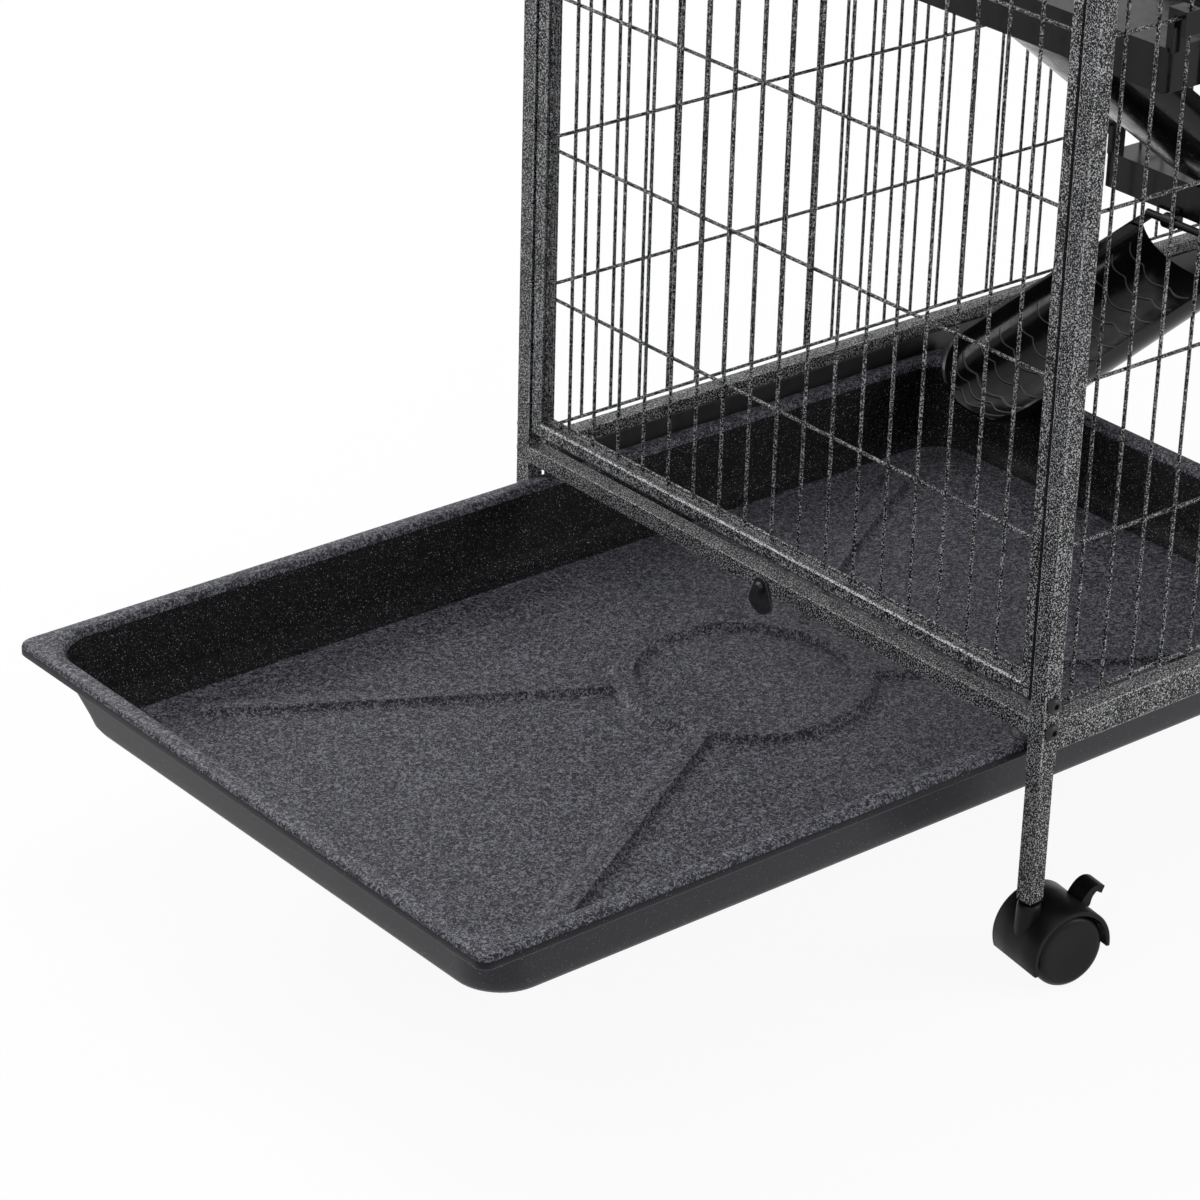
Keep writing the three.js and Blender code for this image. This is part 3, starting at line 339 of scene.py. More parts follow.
TINY = 0.01  # the smallest radius, and the distance at which points are joined


def circle(centre, along, radius, count):
    """Evenly spaced points round a circle that is square to along."""
    side = along.orthogonal().normalized()
    up = along.cross(side)
    angles = [2 * math.pi * k / count for k in range(count)]
    return [centre + (side * math.cos(a) + up * math.sin(a)) * radius for a in angles]


class Build:
    """Gathers vertices in the cage's millimetres and makes one object of them."""

    def __init__(self, move=None):
        self.move = move or Matrix.Identity(4)
        self.points = []
        self.faces = []
        self.marks = []

    def add(self, points, faces, mark=0):
        start = len(self.points)
        self.points.extend(at(*(self.move @ Vector(p))) for p in points)
        self.faces.extend(tuple(start + i for i in face) for face in faces)
        self.marks.extend([mark] * len(faces))

    def rings(self, rings, closed_ends=True, loop=False, mark=0, marks=None):
        """Joins rings of equal counts into a skin; marks gives a material to each strip."""
        count = len(rings[0])
        points = [p for ring in rings for p in ring]
        faces = []
        spans = len(rings) if loop else len(rings) - 1
        for r in range(spans):
            here = r * count
            there = ((r + 1) % len(rings)) * count
            for i in range(count):
                j = (i + 1) % count
                faces.append((here + i, here + j, there + j, there + i))
        if closed_ends and not loop:
            faces.append(tuple(reversed(range(count))))
            faces.append(tuple(range((len(rings) - 1) * count, len(rings) * count)))
        start = len(self.marks)
        self.add(points, faces, mark)
        if marks:
            for k in range(spans * count):
                self.marks[start + k] = marks[k % count]

    def rod(self, start, end, diameter, sides=10):
        """A round rod with softened ends."""
        a, b = Vector(start), Vector(end)
        along = (b - a).normalized()
        radius = diameter / 2
        soft = min(0.35 * radius, (b - a).length / 4)
        inner = soft * along
        steps = ((a, radius - soft), (a + inner, radius), (b - inner, radius), (b, radius - soft))
        self.rings([circle(centre, along, r, sides) for centre, r in steps])

    def bar(self, low, high, soft):
        """A box with rounded edges."""
        made = bmesh.new()
        size = Vector(high) - Vector(low)
        centre = (Vector(high) + Vector(low)) / 2
        bmesh.ops.create_cube(made, size=1.0)
        bmesh.ops.scale(made, vec=size, verts=made.verts)
        bmesh.ops.translate(made, vec=centre, verts=made.verts)
        bmesh.ops.bevel(
            made,
            geom=made.edges[:] + made.verts[:],
            offset=min(soft, min(size) * 0.4),
            segments=2,
            profile=0.5,
            affect="EDGES",
        )
        made.verts.index_update()
        self.add([v.co.copy() for v in made.verts], [[v.index for v in f.verts] for f in made.faces])
        made.free()

    def lathe(self, profile, centre, axis, steps):
        """Turns [radius, height] points about an axis through centre."""
        along = Vector(axis).normalized()
        base = Vector(centre)
        self.rings([circle(base + along * h, along, max(r, TINY), steps) for r, h in profile])

    def object(self, name, material, body, replaced, smooth=40.0, extra=()):
        """Makes the object, rides it on its body and puts it in place of its plain nodes."""
        mesh = bpy.data.meshes.new(name)
        mesh.from_pydata([tuple(p) for p in self.points], [], self.faces)
        mesh.materials.append(material)
        for other in extra:
            mesh.materials.append(other)
        mesh.polygons.foreach_set("material_index", self.marks)
        tidy = bmesh.new()
        tidy.from_mesh(mesh)
        bmesh.ops.recalc_face_normals(tidy, faces=tidy.faces)
        tidy.to_mesh(mesh)
        tidy.free()
        mesh.update()
        made = bpy.data.objects.new(name, mesh)
        bpy.context.scene.collection.objects.link(made)
        shade(made, smooth)
        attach(made, body)
        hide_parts(*replaced)
        return made


def shade(made, degrees):
    """Smooth shading, with edges sharper than that angle kept crisp."""
    for polygon in made.data.polygons:
        polygon.use_smooth = True
    work = bmesh.new()
    work.from_mesh(made.data)
    limit = math.radians(degrees)
    for edge in work.edges:
        edge.smooth = not (len(edge.link_faces) == 2 and edge.calc_face_angle(0) > limit)
    work.to_mesh(made.data)
    work.free()


def body_of(node):
    """The body of the record that holds a node."""
    for body, members in frame["record"]["behaviour"]["bodies"].items():
        if node in members:
            return body
    return "frame"


BEVEL_ANGLE = 35  # degrees; a kept node's flatter edges stay as they are


def finish_node(node, material, soft, edge=None):
    """Keeps a CAD piece, with its material and softly rounded edges; edge, if given, colours the
    rounded edges as a painted highlight.
    """
    made = frame["nodes"][node]
    made.data.materials.clear()
    made.data.materials.append(material)
    join = made.modifiers.new("joined_faces", "WELD")
    join.merge_threshold = TINY * MM
    bevel = made.modifiers.new("soft_edges", "BEVEL")
    if edge:
        # the bevel's new faces take the edge material, a painted highlight
        made.data.materials.append(edge)
        bevel.material = 1
    bevel.width = soft * MM
    bevel.segments = 2
    bevel.limit_method = "ANGLE"
    bevel.angle_limit = math.radians(BEVEL_ANGLE)
    bevel.harden_normals = True


# ------------------------------------------------------------------ wire panels

SEAM_WIDTH = 2.3  # the rounding of an end panel's outer edges, coloured with painted shade
PANEL_GAP = 2.8  # the end panel stands clear of the rail under it
PANEL_BAR, DOOR_BAR = 10.6, 10.0
EDGE_ROUNDING = 1.2
WIDEST_HIGHLIGHT = 1.9  # wider slanting faces get painted shade, not a painted highlight
PANEL_BORDER = 3.2  # from a panel's bar to its border wire
CLIPS, CLIP_INSET, CLIP_REACH = 7, 14, 3.6  # the stubs that hold a panel's border wires


def frame_profile(width, depth, seam=EDGE_ROUNDING):
    """A welded frame's section: inward distance and depth, with a groove on its inner side."""
    half = depth / 2
    rib = half * 0.42
    soft = EDGE_ROUNDING
    groove = 1.6
    return [
        (0, -half + seam),
        (seam, -half),
        (width - soft, -half),
        (width, -half + soft),
        (width, -rib - 0.6),
        (width - 0.5, -rib),
        (width - groove, -rib + 0.5),
        (width - groove, rib - 0.5),
        (width - 0.5, rib),
        (width, rib + 0.6),
        (width, half - soft),
        (width - soft, half),
        (seam, half),
        (0, half - seam),
    ]


def mitred_frame(build, corners, first, second, normal, profile):
    """Sweeps a section round four corners, mitred at each; first and second are its plane's axes."""
    a, b = Vector(first), Vector(second)
    rings = []
    for corner, inward in zip(corners, (a + b, b - a, -a - b, a - b)):
        ring = []
        for across, depth in profile:
            ring.append(Vector(corner) + inward * across + Vector(normal) * depth)
        rings.append(ring)
    # the section's slanting faces take a painted highlight or painted shade
    build.rings(rings, loop=True, marks=edge_marks(profile))


def edge_marks(profile):
    """1 on a section's short slanting faces, a painted highlight; 2 on the wider ones, painted shade.
    """
    marks = []
    for (a, b), (c, d) in zip(profile, profile[1:] + profile[:1]):
        slanting = abs(a - c) > 0.1 and abs(b - d) > 0.1
        highlighted = slanting and math.hypot(a - c, b - d) < WIDEST_HIGHLIGHT
        shaded = slanting and not highlighted and max(a, c) < SEAM_WIDTH + 0.1
        marks.append(1 if highlighted else 2 if shaded else 0)
    return marks


def end_panel(node, x, outward):
    low, high = cage_box(node)
    low.z += PANEL_GAP
    build = Build()
    corners = [(x, low.y, low.z), (x, high.y, low.z), (x, high.y, high.z), (x, low.y, high.z)]
    profile = frame_profile(PANEL_BAR, high.x - low.x, SEAM_WIDTH)
    mitred_frame(build, corners, (0, 1, 0), (0, 0, 1), (outward, 0, 0), profile)
    start, end = low.y + PANEL_BAR, high.y - PANEL_BAR
    border_low = low.z + PANEL_BAR + PANEL_BORDER
    border_high = high.z - PANEL_BAR - PANEL_BORDER
    upright_x = x + outward * LAYER
    level_x = x - outward * LAYER
    for i in range(END_WIRES):
        y = -WIDTH / 2 + (i - (END_WIRES - 1) / 2) * PITCH
        build.rod((upright_x, y, border_low - 1.6), (upright_x, y, border_high + 1.6), WIRE)
    for z in (border_low, *ROWS, border_high):
        build.rod((level_x, start - 1, z), (level_x, end + 1, z), WIRE)
    for k in range(CLIPS):
        y = start + CLIP_INSET + k * (end - start - 2 * CLIP_INSET) / (CLIPS - 1)
        for z, toward in ((border_low, -1), (border_high, 1)):
            build.rod((level_x, y, z), (level_x, y, z + toward * CLIP_REACH), WIRE)
    # extra materials: a painted highlight on the frame's edges and painted shade on its outer seams
    build.object(node + "_looks", HAMMERTONE, "frame", [node], extra=[EDGE_HIGHLIGHT, SEAM_PAINTED_SHADE])


def upright_stretches(x, with_openings):
    """The stretches of an upright wire, which stops at the door openings."""
    low = FIRST_Z - 2.2
    high = LAST_Z + 2.2
    if not (with_openings and DOOR_LEFT + 1 < x < DOOR_RIGHT - 1):
        return [(low, high)]
    (first_low, first_high), (second_low, second_high) = OPENINGS
    return [(low, first_low + 1), (first_high - 1, second_low + 1), (second_high - 1, high)]


def side_mesh(build, y, outward, with_openings):
    """The upright and level wires of a long side."""
    upright_y = y + outward * LAYER
    level_y = y - outward * LAYER
    start = POST - 0.6  # the level wires end just inside the posts
    end = LENGTH - POST + 0.6
    for i in range(SIDE_WIRES):
        x = SIDE_START + i * PITCH
        for low, high in upright_stretches(x, with_openings):
            build.rod((x, upright_y, low), (x, upright_y, high), WIRE)
    for z in (FIRST_Z, *ROWS, LAST_Z):
        in_door = with_openings and any(low + 1 < z < high - 1 for low, high in OPENINGS)
        if in_door:
            build.rod((start, level_y, z), (DOOR_LEFT, level_y, z), WIRE)
            build.rod((DOOR_RIGHT, level_y, z), (end, level_y, z), WIRE)
        else:
            build.rod((start, level_y, z), (end, level_y, z), WIRE)


def back_mesh():
    build = Build()
    side_mesh(build, -MESH_DEPTH, 1, False)
    build.object("back_mesh_looks", HAMMERTONE, "frame", ["back_mesh"])


def latch_mount(build, y, middle):
    """The plate and rivet that carry a turn button."""
    plate_face = y - 5.0
    pivot = DOOR_RIGHT + 12.0
    build.bar((DOOR_RIGHT, plate_face, middle - 10), (DOOR_RIGHT + 21, y - 1, middle + 10), 1.2)
    build.rod((pivot, plate_face + 0.5, middle), (pivot, plate_face - 3.4, middle), 4.2, 16)
    head = [(0, 1.9), (1.8, 1.8), (3.2, 1.3), (4.1, 0.4), (4.2, 0), (0, 0)]
    build.lathe(head, (pivot, plate_face - 3.0, middle), (0, -1, 0), 20)


def front_mesh():
    build = Build()
    y = -WIDTH + MESH_DEPTH
    side_mesh(build, y, -1, True)
    for low, high in OPENINGS:
        reach = DOOR_ROD / 2
        for x in (DOOR_LEFT, DOOR_RIGHT):
            build.rod((x, y, low), (x, y, high), DOOR_ROD, 14)
        for z in (low, high):
            build.rod((DOOR_LEFT - reach, y, z), (DOOR_RIGHT + reach, y, z), DOOR_ROD, 14)
        latch_mount(build, y, (low + high) / 2)
    build.object("front_mesh_looks", HAMMERTONE, "frame", ["front_mesh"])


DOOR_GAP = 4.6  # from the opening's rods to the door's bars
HINGE_INSET, HINGE_DROP = 62, 8  # from the opening's ends to each hinge ring
HINGE_RING = [(2.8, 0), (5.2, 0), (5.7, 0.6), (5.7, 15.4), (5.2, 16), (2.8, 16)]
HINGE_STEPS = 24


def door(node, low, high):
    build = Build()
    y = -WIDTH + MESH_DEPTH
    left, right = DOOR_LEFT + DOOR_GAP, DOOR_RIGHT - DOOR_GAP
    bottom, top = low + DOOR_GAP, high - DOOR_GAP
    corners = [(left, y, bottom), (right, y, bottom), (right, y, top), (left, y, top)]
    profile = frame_profile(DOOR_BAR, DOOR_BAR)
    mitred_frame(build, corners, (1, 0, 0), (0, 0, 1), (0, -1, 0), profile)
    for i in range(1, DOOR_LAST_WIRE - DOOR_FIRST_WIRE):
        x = DOOR_LEFT + i * PITCH
        ends = (bottom + DOOR_BAR - 1, top - DOOR_BAR + 1)
        build.rod((x, y - LAYER, ends[0]), (x, y - LAYER, ends[1]), WIRE)
    for k in range(1, 4):
        z = low + k * ROW_PITCH
        ends = (left + DOOR_BAR - 1, right - DOOR_BAR + 1)
        build.rod((ends[0], y + LAYER, z), (ends[1], y + LAYER, z), WIRE)
    for side in (-1, 1):
        z = (low + high) / 2 + side * ((high - low) / 2 - HINGE_INSET) - HINGE_DROP
        rings = []
        for k in range(HINGE_STEPS):
            angle = 2 * math.pi * k / HINGE_STEPS
            across, deep = math.cos(angle), math.sin(angle)
            rings.append([(DOOR_LEFT + r * across, y + r * deep, z + h) for r, h in HINGE_RING])
        build.rings(rings, loop=True)
    build.object(node + "_looks", HAMMERTONE, body_of(node), [node], extra=[EDGE_HIGHLIGHT])


TOP_WIRES = 4


def top_panel():
    build = Build()
    low, high = cage_box("top_panel")
    z = (low.z + high.z) / 2
    bar = high.z - low.z
    corners = [(low.x, low.y, z), (high.x, low.y, z), (high.x, high.y, z), (low.x, high.y, z)]
    mitred_frame(build, corners, (1, 0, 0), (0, 1, 0), (0, 0, 1), frame_profile(bar, bar))
    for i in range(SIDE_WIRES):
        x = SIDE_START + i * PITCH
        build.rod((x, low.y + bar - 1, z + LAYER), (x, high.y - bar + 1, z + LAYER), WIRE)
    for k in range(1, TOP_WIRES + 1):
        y = -WIDTH * k / (TOP_WIRES + 1)
        build.rod((low.x + bar - 1, y, z - LAYER), (high.x - bar + 1, y, z - LAYER), WIRE)
    build.object("top_panel_looks", HAMMERTONE, "frame", ["top_panel"], extra=[EDGE_HIGHLIGHT])


end_panel("end_panel_exit", MESH_DEPTH, -1)
end_panel("end_panel_far", LENGTH - MESH_DEPTH, 1)
back_mesh()
front_mesh()
door("lower_door", *OPENINGS[0])
door("upper_door", *OPENINGS[1])
top_panel()

# ------------------------------------------------------------------ tray

TRAY_LOW, TRAY_HIGH = cage_box("litter_tray")
TRAY_X = (TRAY_LOW.x + TRAY_HIGH.x) / 2
TRAY_Y = (TRAY_LOW.y + TRAY_HIGH.y) / 2
TRAY_HALF_X = (TRAY_HIGH.x - TRAY_LOW.x) / 2
TRAY_HALF_Y = (TRAY_HIGH.y - TRAY_LOW.y) / 2
RIM_TOP = TRAY_HIGH.z
TRAY_DEPTH = 52.0
TRAY_WALL_THICK = 2.6
RIM = 12.8  # how far the rim reaches in
LIP = 8.7  # how far the rim's edge turns down
LEAN = 14.0  # how far the walls lean in
FLOOR_INSET = RIM + LEAN + 11  # from the tray's outer edge to its flat floor
RIM_CORNER, WALL_CORNER = 8.0, 30.0  # corner radii
RING_INNER, RING_OUTER, RING_HEIGHT = 68.0, 85.0, 4.4
RIB_WIDTH, RIB_HEIGHT = 18.0, 3.8
RIB_REACH = Vector((307.0, 175.0))  # from the floor's middle to a rib's end
RIDGE_EDGE = 3.4  # the width of the ring's and the ribs' slopes
RIB_FADE = 7
RING_LINES = [
    RING_INNER - 1.5,
    RING_INNER,
    RING_INNER + 1.6,
    RING_INNER + 3.4,
    RING_INNER + 5.0,
    (RING_INNER + RING_OUTER) / 2,
    RING_OUTER - 5.0,
    RING_OUTER - 3.4,
    RING_OUTER - 1.6,
    RING_OUTER,
    RING_OUTER + 1.5,
]
RIB_LINES = (-9.0, -7.4, -5.8, -4.4, -2.2, 0.0, 2.2, 4.4, 5.8, 7.4, 9.0)
RING_STEP, RIB_STEP, GRID_STEP = 4.2, 4.5, 6.5  # between the floor's points
GRID_SPARE = 4  # the grid keeps this far from the ring, the ribs and the floor's edge


def smooth_step(low, high, value):
    """0 below low, 1 above high, and a smooth rise between."""
    t = min(max((value - low) / (high - low), 0.0), 1.0)
    return t * t * (3 - 2 * t)


def ridge(distance, half, edge):
    """1 on a flat-topped ridge, falling to 0 over its edge."""
    return 1 - smooth_step(half - edge, half, abs(distance))


def floor_height(x, y):
    """The raised ring and four ribs of the tray's floor, from its middle."""
    radius = math.hypot(x, y)
    middle = (RING_INNER + RING_OUTER) / 2
    height = RING_HEIGHT * ridge(radius - middle, (RING_OUTER - RING_INNER) / 2, RIDGE_EDGE)
    if radius > RING_INNER:
        along = RIB_REACH.normalized()
        travelled = abs(x) * along.x + abs(y) * along.y
        end = 1 - smooth_step(RIB_REACH.length - RIB_FADE, RIB_REACH.length, travelled)
        rib = ridge(off_rib(x, y), RIB_WIDTH / 2, RIDGE_EDGE) * end
        height = max(height, RIB_HEIGHT * rib)
    return height


def off_rib(x, y):
    """How far a point of the floor lies from the nearest rib's middle line."""
    along = RIB_REACH.normalized()
    return abs(abs(x) * along.y - abs(y) * along.x)


CORNER_STEPS = 12


def tray_loop(inset, z, radius):
    """One rounded rectangle, drawn in by inset from the tray's outer edge."""
    steps = CORNER_STEPS
    half_x = TRAY_HALF_X - inset
    half_y = TRAY_HALF_Y - inset
    loop = []
    for corner in range(4):
        sign_x = 1 if corner in (0, 3) else -1
        sign_y = 1 if corner < 2 else -1
        for step in range(steps + 1):
            angle = (corner + step / steps) * math.pi / 2
            x = sign_x * (half_x - radius) + radius * math.cos(angle)
            y = sign_y * (half_y - radius) + radius * math.sin(angle)
            loop.append(Vector((x, y, z)))
    return loop


def on_floor(x, y):
    """Whether a point is within the flat floor, clear of its edge."""
    out_x = abs(x) - (TRAY_HALF_X - FLOOR_INSET - WALL_CORNER)
    out_y = abs(y) - (TRAY_HALF_Y - FLOOR_INSET - WALL_CORNER)
    reach = WALL_CORNER - GRID_SPARE
    if out_x > 0 and out_y > 0:
        return math.hypot(out_x, out_y) < reach
    return max(out_x, out_y) < reach


def on_plain_floor(x, y):
    """Whether a grid point keeps clear of the ring, the ribs and the floor's edge."""
    radius = math.hypot(x, y)
    if RING_LINES[0] - GRID_SPARE < radius < RING_LINES[-1] + GRID_SPARE:
        return False
    beside_rib = RING_OUTER < radius < RIB_REACH.length + 6
    if beside_rib and off_rib(x, y) <= RIB_LINES[-1] + GRID_SPARE:
        return False
    return on_floor(x, y)


def ring_points():
    points = []
    for r in RING_LINES:
        count = int(2 * math.pi * r / RING_STEP)
        angles = [2 * math.pi * k / count for k in range(count)]
        points += [(r * math.cos(angle), r * math.sin(angle)) for angle in angles]
    return points


def rib_points():
    points = []
    along = RIB_REACH.normalized()
    start, end = RING_OUTER + 2, RIB_REACH.length + 2
    steps = int((end - start) / RIB_STEP)
    for sign_x, sign_y in ((-1, -1), (-1, 1), (1, -1), (1, 1)):
        for across in RIB_LINES:
            for k in range(steps + 1):
                t = start + (end - start) * k / steps
                x = along.x * t - along.y * across
                y = along.y * t + along.x * across
                points.append((sign_x * x, sign_y * y))
    return points


def grid_points():
    count_x = int(TRAY_HALF_X / GRID_STEP)
    count_y = int(TRAY_HALF_Y / GRID_STEP)
    points = []
    for i in range(-count_x, count_x + 1):
        for j in range(-count_y, count_y + 1):
            x, y = i * GRID_STEP, j * GRID_STEP
            if on_plain_floor(x, y):
                points.append((x, y))
    return points


def floor_patch(build, level):
    """Triangulates the floor between its boundary and its points."""
    boundary = [(p.x, p.y) for p in tray_loop(FLOOR_INSET, 0, WALL_CORNER)]
    points = [Vector(p) for p in boundary + ring_points() + rib_points() + grid_points()]
    edges = [(k, (k + 1) % len(boundary)) for k in range(len(boundary))]
    verts, _, faces, *_ = delaunay_2d_cdt(points, edges, [], 1, 1e-4)
    placed = []
    for point in verts:
        height = level + floor_height(point.x, point.y) + RIM_TOP
        placed.append((point.x + TRAY_X, point.y + TRAY_Y, height))
    build.add(placed, [tuple(face) for face in faces])


def tray_loops(rows):
    """The loops of (inset, height, corner radius) rows, in the cage's place."""
    loops = [tray_loop(inset, z, radius) for inset, z, radius in rows]
    return [[(p.x + TRAY_X, p.y + TRAY_Y, p.z + RIM_TOP) for p in loop] for loop in loops]


def litter_tray():
    build = Build()
    floor = -TRAY_DEPTH
    wall = TRAY_WALL_THICK
    sharp, wide = RIM_CORNER, WALL_CORNER
    outside = [
        (RIM + LEAN + 60, floor - wall, wide),
        (RIM + LEAN + 9, floor - wall, wide),
        (RIM + LEAN + 4, floor - wall + 0.8, wide),
        (RIM + LEAN + 0.5, floor - wall + 2.8, wide),
        (RIM + LEAN - 2, floor - wall + 6.5, wide),
        (RIM + LEAN - 4, floor - wall + 13, wide),
        (RIM - wall + 0.5, -wall - 6, wide),
        (RIM - wall - 0.6, -wall - 2, wide),
        (RIM - wall - 2, -wall, wide),
        (wall + 1, -wall, sharp),
        (wall, -wall - 1, sharp),
        (wall, -LIP + 0.6, sharp),
        (wall * 0.6, -LIP, sharp),
        (0.6, -LIP + 0.2, sharp),
        (0, -LIP + 1.0, sharp),
        (0, -3.2, sharp),
    ]
    inside = [
        (0, -3.2, sharp),
        (0.4, -1.6, sharp),
        (1.4, -0.5, sharp),
        (2.8, 0, sharp),
        (RIM - 3.5, 0, wide),
        (RIM - 1.5, -0.5, wide),
        (RIM, -1.8, wide),
        (RIM + 1.2, -4.4, wide),
        (RIM + LEAN - 3.5, floor + 13, wide),
        (RIM + LEAN - 1.5, floor + 7.5, wide),
        (RIM + LEAN + 1.5, floor + 3.4, wide),
        (RIM + LEAN + 5.5, floor + 1.0, wide),
        (FLOOR_INSET, floor, wide),
    ]

    bottom = tray_loops(outside)
    build.rings(bottom, closed_ends=False, mark=1)
    # the rim takes a lighter copy, painted light; the inner walls below take a darker copy, painted
    # shade
    build.rings(tray_loops(inside[:8]), closed_ends=False, mark=2)
    build.rings(tray_loops(inside[7:]), closed_ends=False, mark=3)
    floor_patch(build, floor)
    build.add(bottom[0], [tuple(reversed(range(len(bottom[0]))))], mark=1)
    finishes_and_painted_light = [TRAY_WALL, TRAY_RIM_PAINTED_LIGHT, TRAY_INSIDE_PAINTED_SHADE]
    made = build.object("litter_tray_looks", TRAY, "tray", ["litter_tray"], 50, extra=finishes_and_painted_light)
    join_points(made)


def join_points(made):
    """Joins points that meet, and turns all faces outwards."""
    work = bmesh.new()
    work.from_mesh(made.data)
    bmesh.ops.remove_doubles(work, verts=work.verts, dist=TINY * MM)
    bmesh.ops.recalc_face_normals(work, faces=work.faces)
    work.to_mesh(made.data)
    work.free()


litter_tray()

# ------------------------------------------------------------------ ramps

RAMP_WIDTH, RAMP_DEPTH, RAMP_WALL, RAMP_ROD = 109.0, 35.6, 2.6, 6.0
RAMP_START = 6.5  # from the hinge rod to the trough
LOWER_RAMP_LENGTH = 230
TONGUE, TONGUE_RISE, TONGUE_NARROW = 46.0, 7.0, 0.42  # the rounded lower end
AROUND, ALONG, ALONG_TONGUE = 36, 24, 16  # steps of a trough's mesh
EAR_WIDTH, EAR_INSET, EAR_LOW, EAR_HIGH, EAR_REACH = 6.5, 1, -3.2, -0.2, 9
FIRST_TREAD, TREAD_PITCH, TREADS_END = 20, 19, 26
TONGUE_TREADS = (40, 29, 19)  # back from the end
TREAD_STEPS, TREAD_SCALLOPS, SCALLOP, TREAD_BOW = 72, 4, 5.5, 10.0
TREAD_SECTION = ((-0.6, -0.5), (-0.35, 0.7), (0.35, 0.7), (0.6, -0.5))
SHELF_DROP, ROD_DROP, ROD_REACH = 18.3, 30.7, 6.5  # to a shelf's underside and to its hinge rod
FAR_SHELF_START = 543.6
NEAR_SHELF_END = 228.6
RAMP_REST, RAMP_LANDING = 0.4, 9.0
TRAY_RIM_EDGE = 373.1
FRONT_RAMP_Y, BACK_RAMP_Y = -388, -114


def trough_shape(x, length):
    """Half width, depth and how far the rims drop, at a distance from the hinge."""
    into = max(0.0, (x - (length - TONGUE)) / TONGUE)
    round_off = math.sqrt(max(0.0, 1 - into * into))
    half = RAMP_WIDTH / 2 * (TONGUE_NARROW + (1 - TONGUE_NARROW) * round_off)
    depth = RAMP_DEPTH - TONGUE_RISE * into * into
    return half, depth, (depth - RAMP_WALL) * 0.86 * (1 - round_off)


def trough_point(x, angle, length, wall):
    """A point of the trough's skin; wall is 0 outside and the wall's thickness inside."""
    half, depth, drop = trough_shape(x, length)
    low = max(math.sin(angle), 0.0) ** 0.8
    return (x, -(half - wall) * math.cos(angle), -drop - (depth - drop - wall) * low)


def tread(build, start, length):
    """One thin scalloped ridge across the inside of a trough, coloured with a painted highlight."""
    rings = []
    for k in range(TREAD_STEPS + 1):
        share = k / TREAD_STEPS
        angle = math.pi * (0.10 + 0.80 * share)
        wave = abs(math.sin(math.pi * TREAD_SCALLOPS * share + 0.6))
        x = start + SCALLOP * wave + TREAD_BOW * math.sin(math.pi * share)
        inward = Vector((0, math.cos(angle), math.sin(angle)))
        centre = Vector(trough_point(min(x, length - 2.5), angle, length, RAMP_WALL)) + inward * 0.1
        rings.append([centre + Vector((dx, 0, 0)) + inward * dz for dx, dz in TREAD_SECTION])
    # the tread takes the lighter gloss, a painted highlight
    build.rings(rings, mark=1)


def ramp(name, hinge, length, tilt, turn):
    """A trough from its hinge rod down to its tongue, with treads."""
    turned = Matrix.Rotation(turn, 4, "Z") @ Matrix.Rotation(tilt, 4, "Y")
    build = Build(Matrix.Translation(hinge) @ turned)
    straight = length - TONGUE
    stations = [RAMP_START + (straight - RAMP_START) * k / ALONG for k in range(ALONG)]
    for k in range(ALONG_TONGUE + 1):
        stations.append(straight + TONGUE * math.sin(math.pi / 2 * k / ALONG_TONGUE))
    angles = [math.pi * i / AROUND for i in range(AROUND + 1)]
    rings = []
    for x in stations:
        outer = [trough_point(x, angle, length, 0) for angle in angles]
        inner = [trough_point(x, angle, length, RAMP_WALL) for angle in angles]
        rings.append(outer + inner[::-1])
    build.rings(rings)
    half = RAMP_WIDTH / 2
    build.rod((0, 1 - half, 0), (0, half - 1, 0), RAMP_ROD, 20)
    for side in (-1, 1):
        ys = sorted((side * (half - EAR_INSET - EAR_WIDTH), side * (half - EAR_INSET)))
        build.bar((-1.5, ys[0], EAR_LOW), (RAMP_START + EAR_REACH, ys[1], EAR_HIGH), 0.8)
    for start in range(FIRST_TREAD, int(length - TREADS_END), TREAD_PITCH):
        tread(build, start, length)
    for back in TONGUE_TREADS:
        tread(build, length - back, length)
    build.object(name + "_looks", GLOSS, body_of(name), [name], 38, extra=[TREAD_HIGHLIGHT])


def rest_tilt(reach, drop, depth):
    """The tilt at which a trough of that depth lies on a point that far off and down."""
    return math.atan2(drop, reach) - math.asin(depth / math.hypot(reach, drop))


def ramps():
    rod_x = FAR_SHELF_START - ROD_REACH
    rod_z = ROWS[0] - SHELF_DROP - ROD_DROP
    tilt = rest_tilt(rod_x - TRAY_RIM_EDGE, rod_z - RIM_TOP, RAMP_DEPTH + RAMP_REST)
    ramp("lower_ramp", (rod_x, BACK_RAMP_Y, rod_z), LOWER_RAMP_LENGTH, tilt, math.pi)
    tip = RAMP_DEPTH - TONGUE_RISE + RAMP_REST
    reach = FAR_SHELF_START + RAMP_LANDING - NEAR_SHELF_END - ROD_REACH
    drop = 3 * ROW_PITCH - ROD_DROP
    length = math.sqrt(reach * reach + drop * drop - tip * tip)
    tilt = rest_tilt(reach, drop, tip)
    middle = (NEAR_SHELF_END + ROD_REACH, BACK_RAMP_Y, rod_z + 3 * ROW_PITCH)
    ramp("middle_ramp", middle, length, tilt, 0)
    ramp("upper_ramp", (rod_x, FRONT_RAMP_Y, rod_z + 6 * ROW_PITCH), length, tilt, math.pi)


ramps()

# ------------------------------------------------------------------ casters and screws

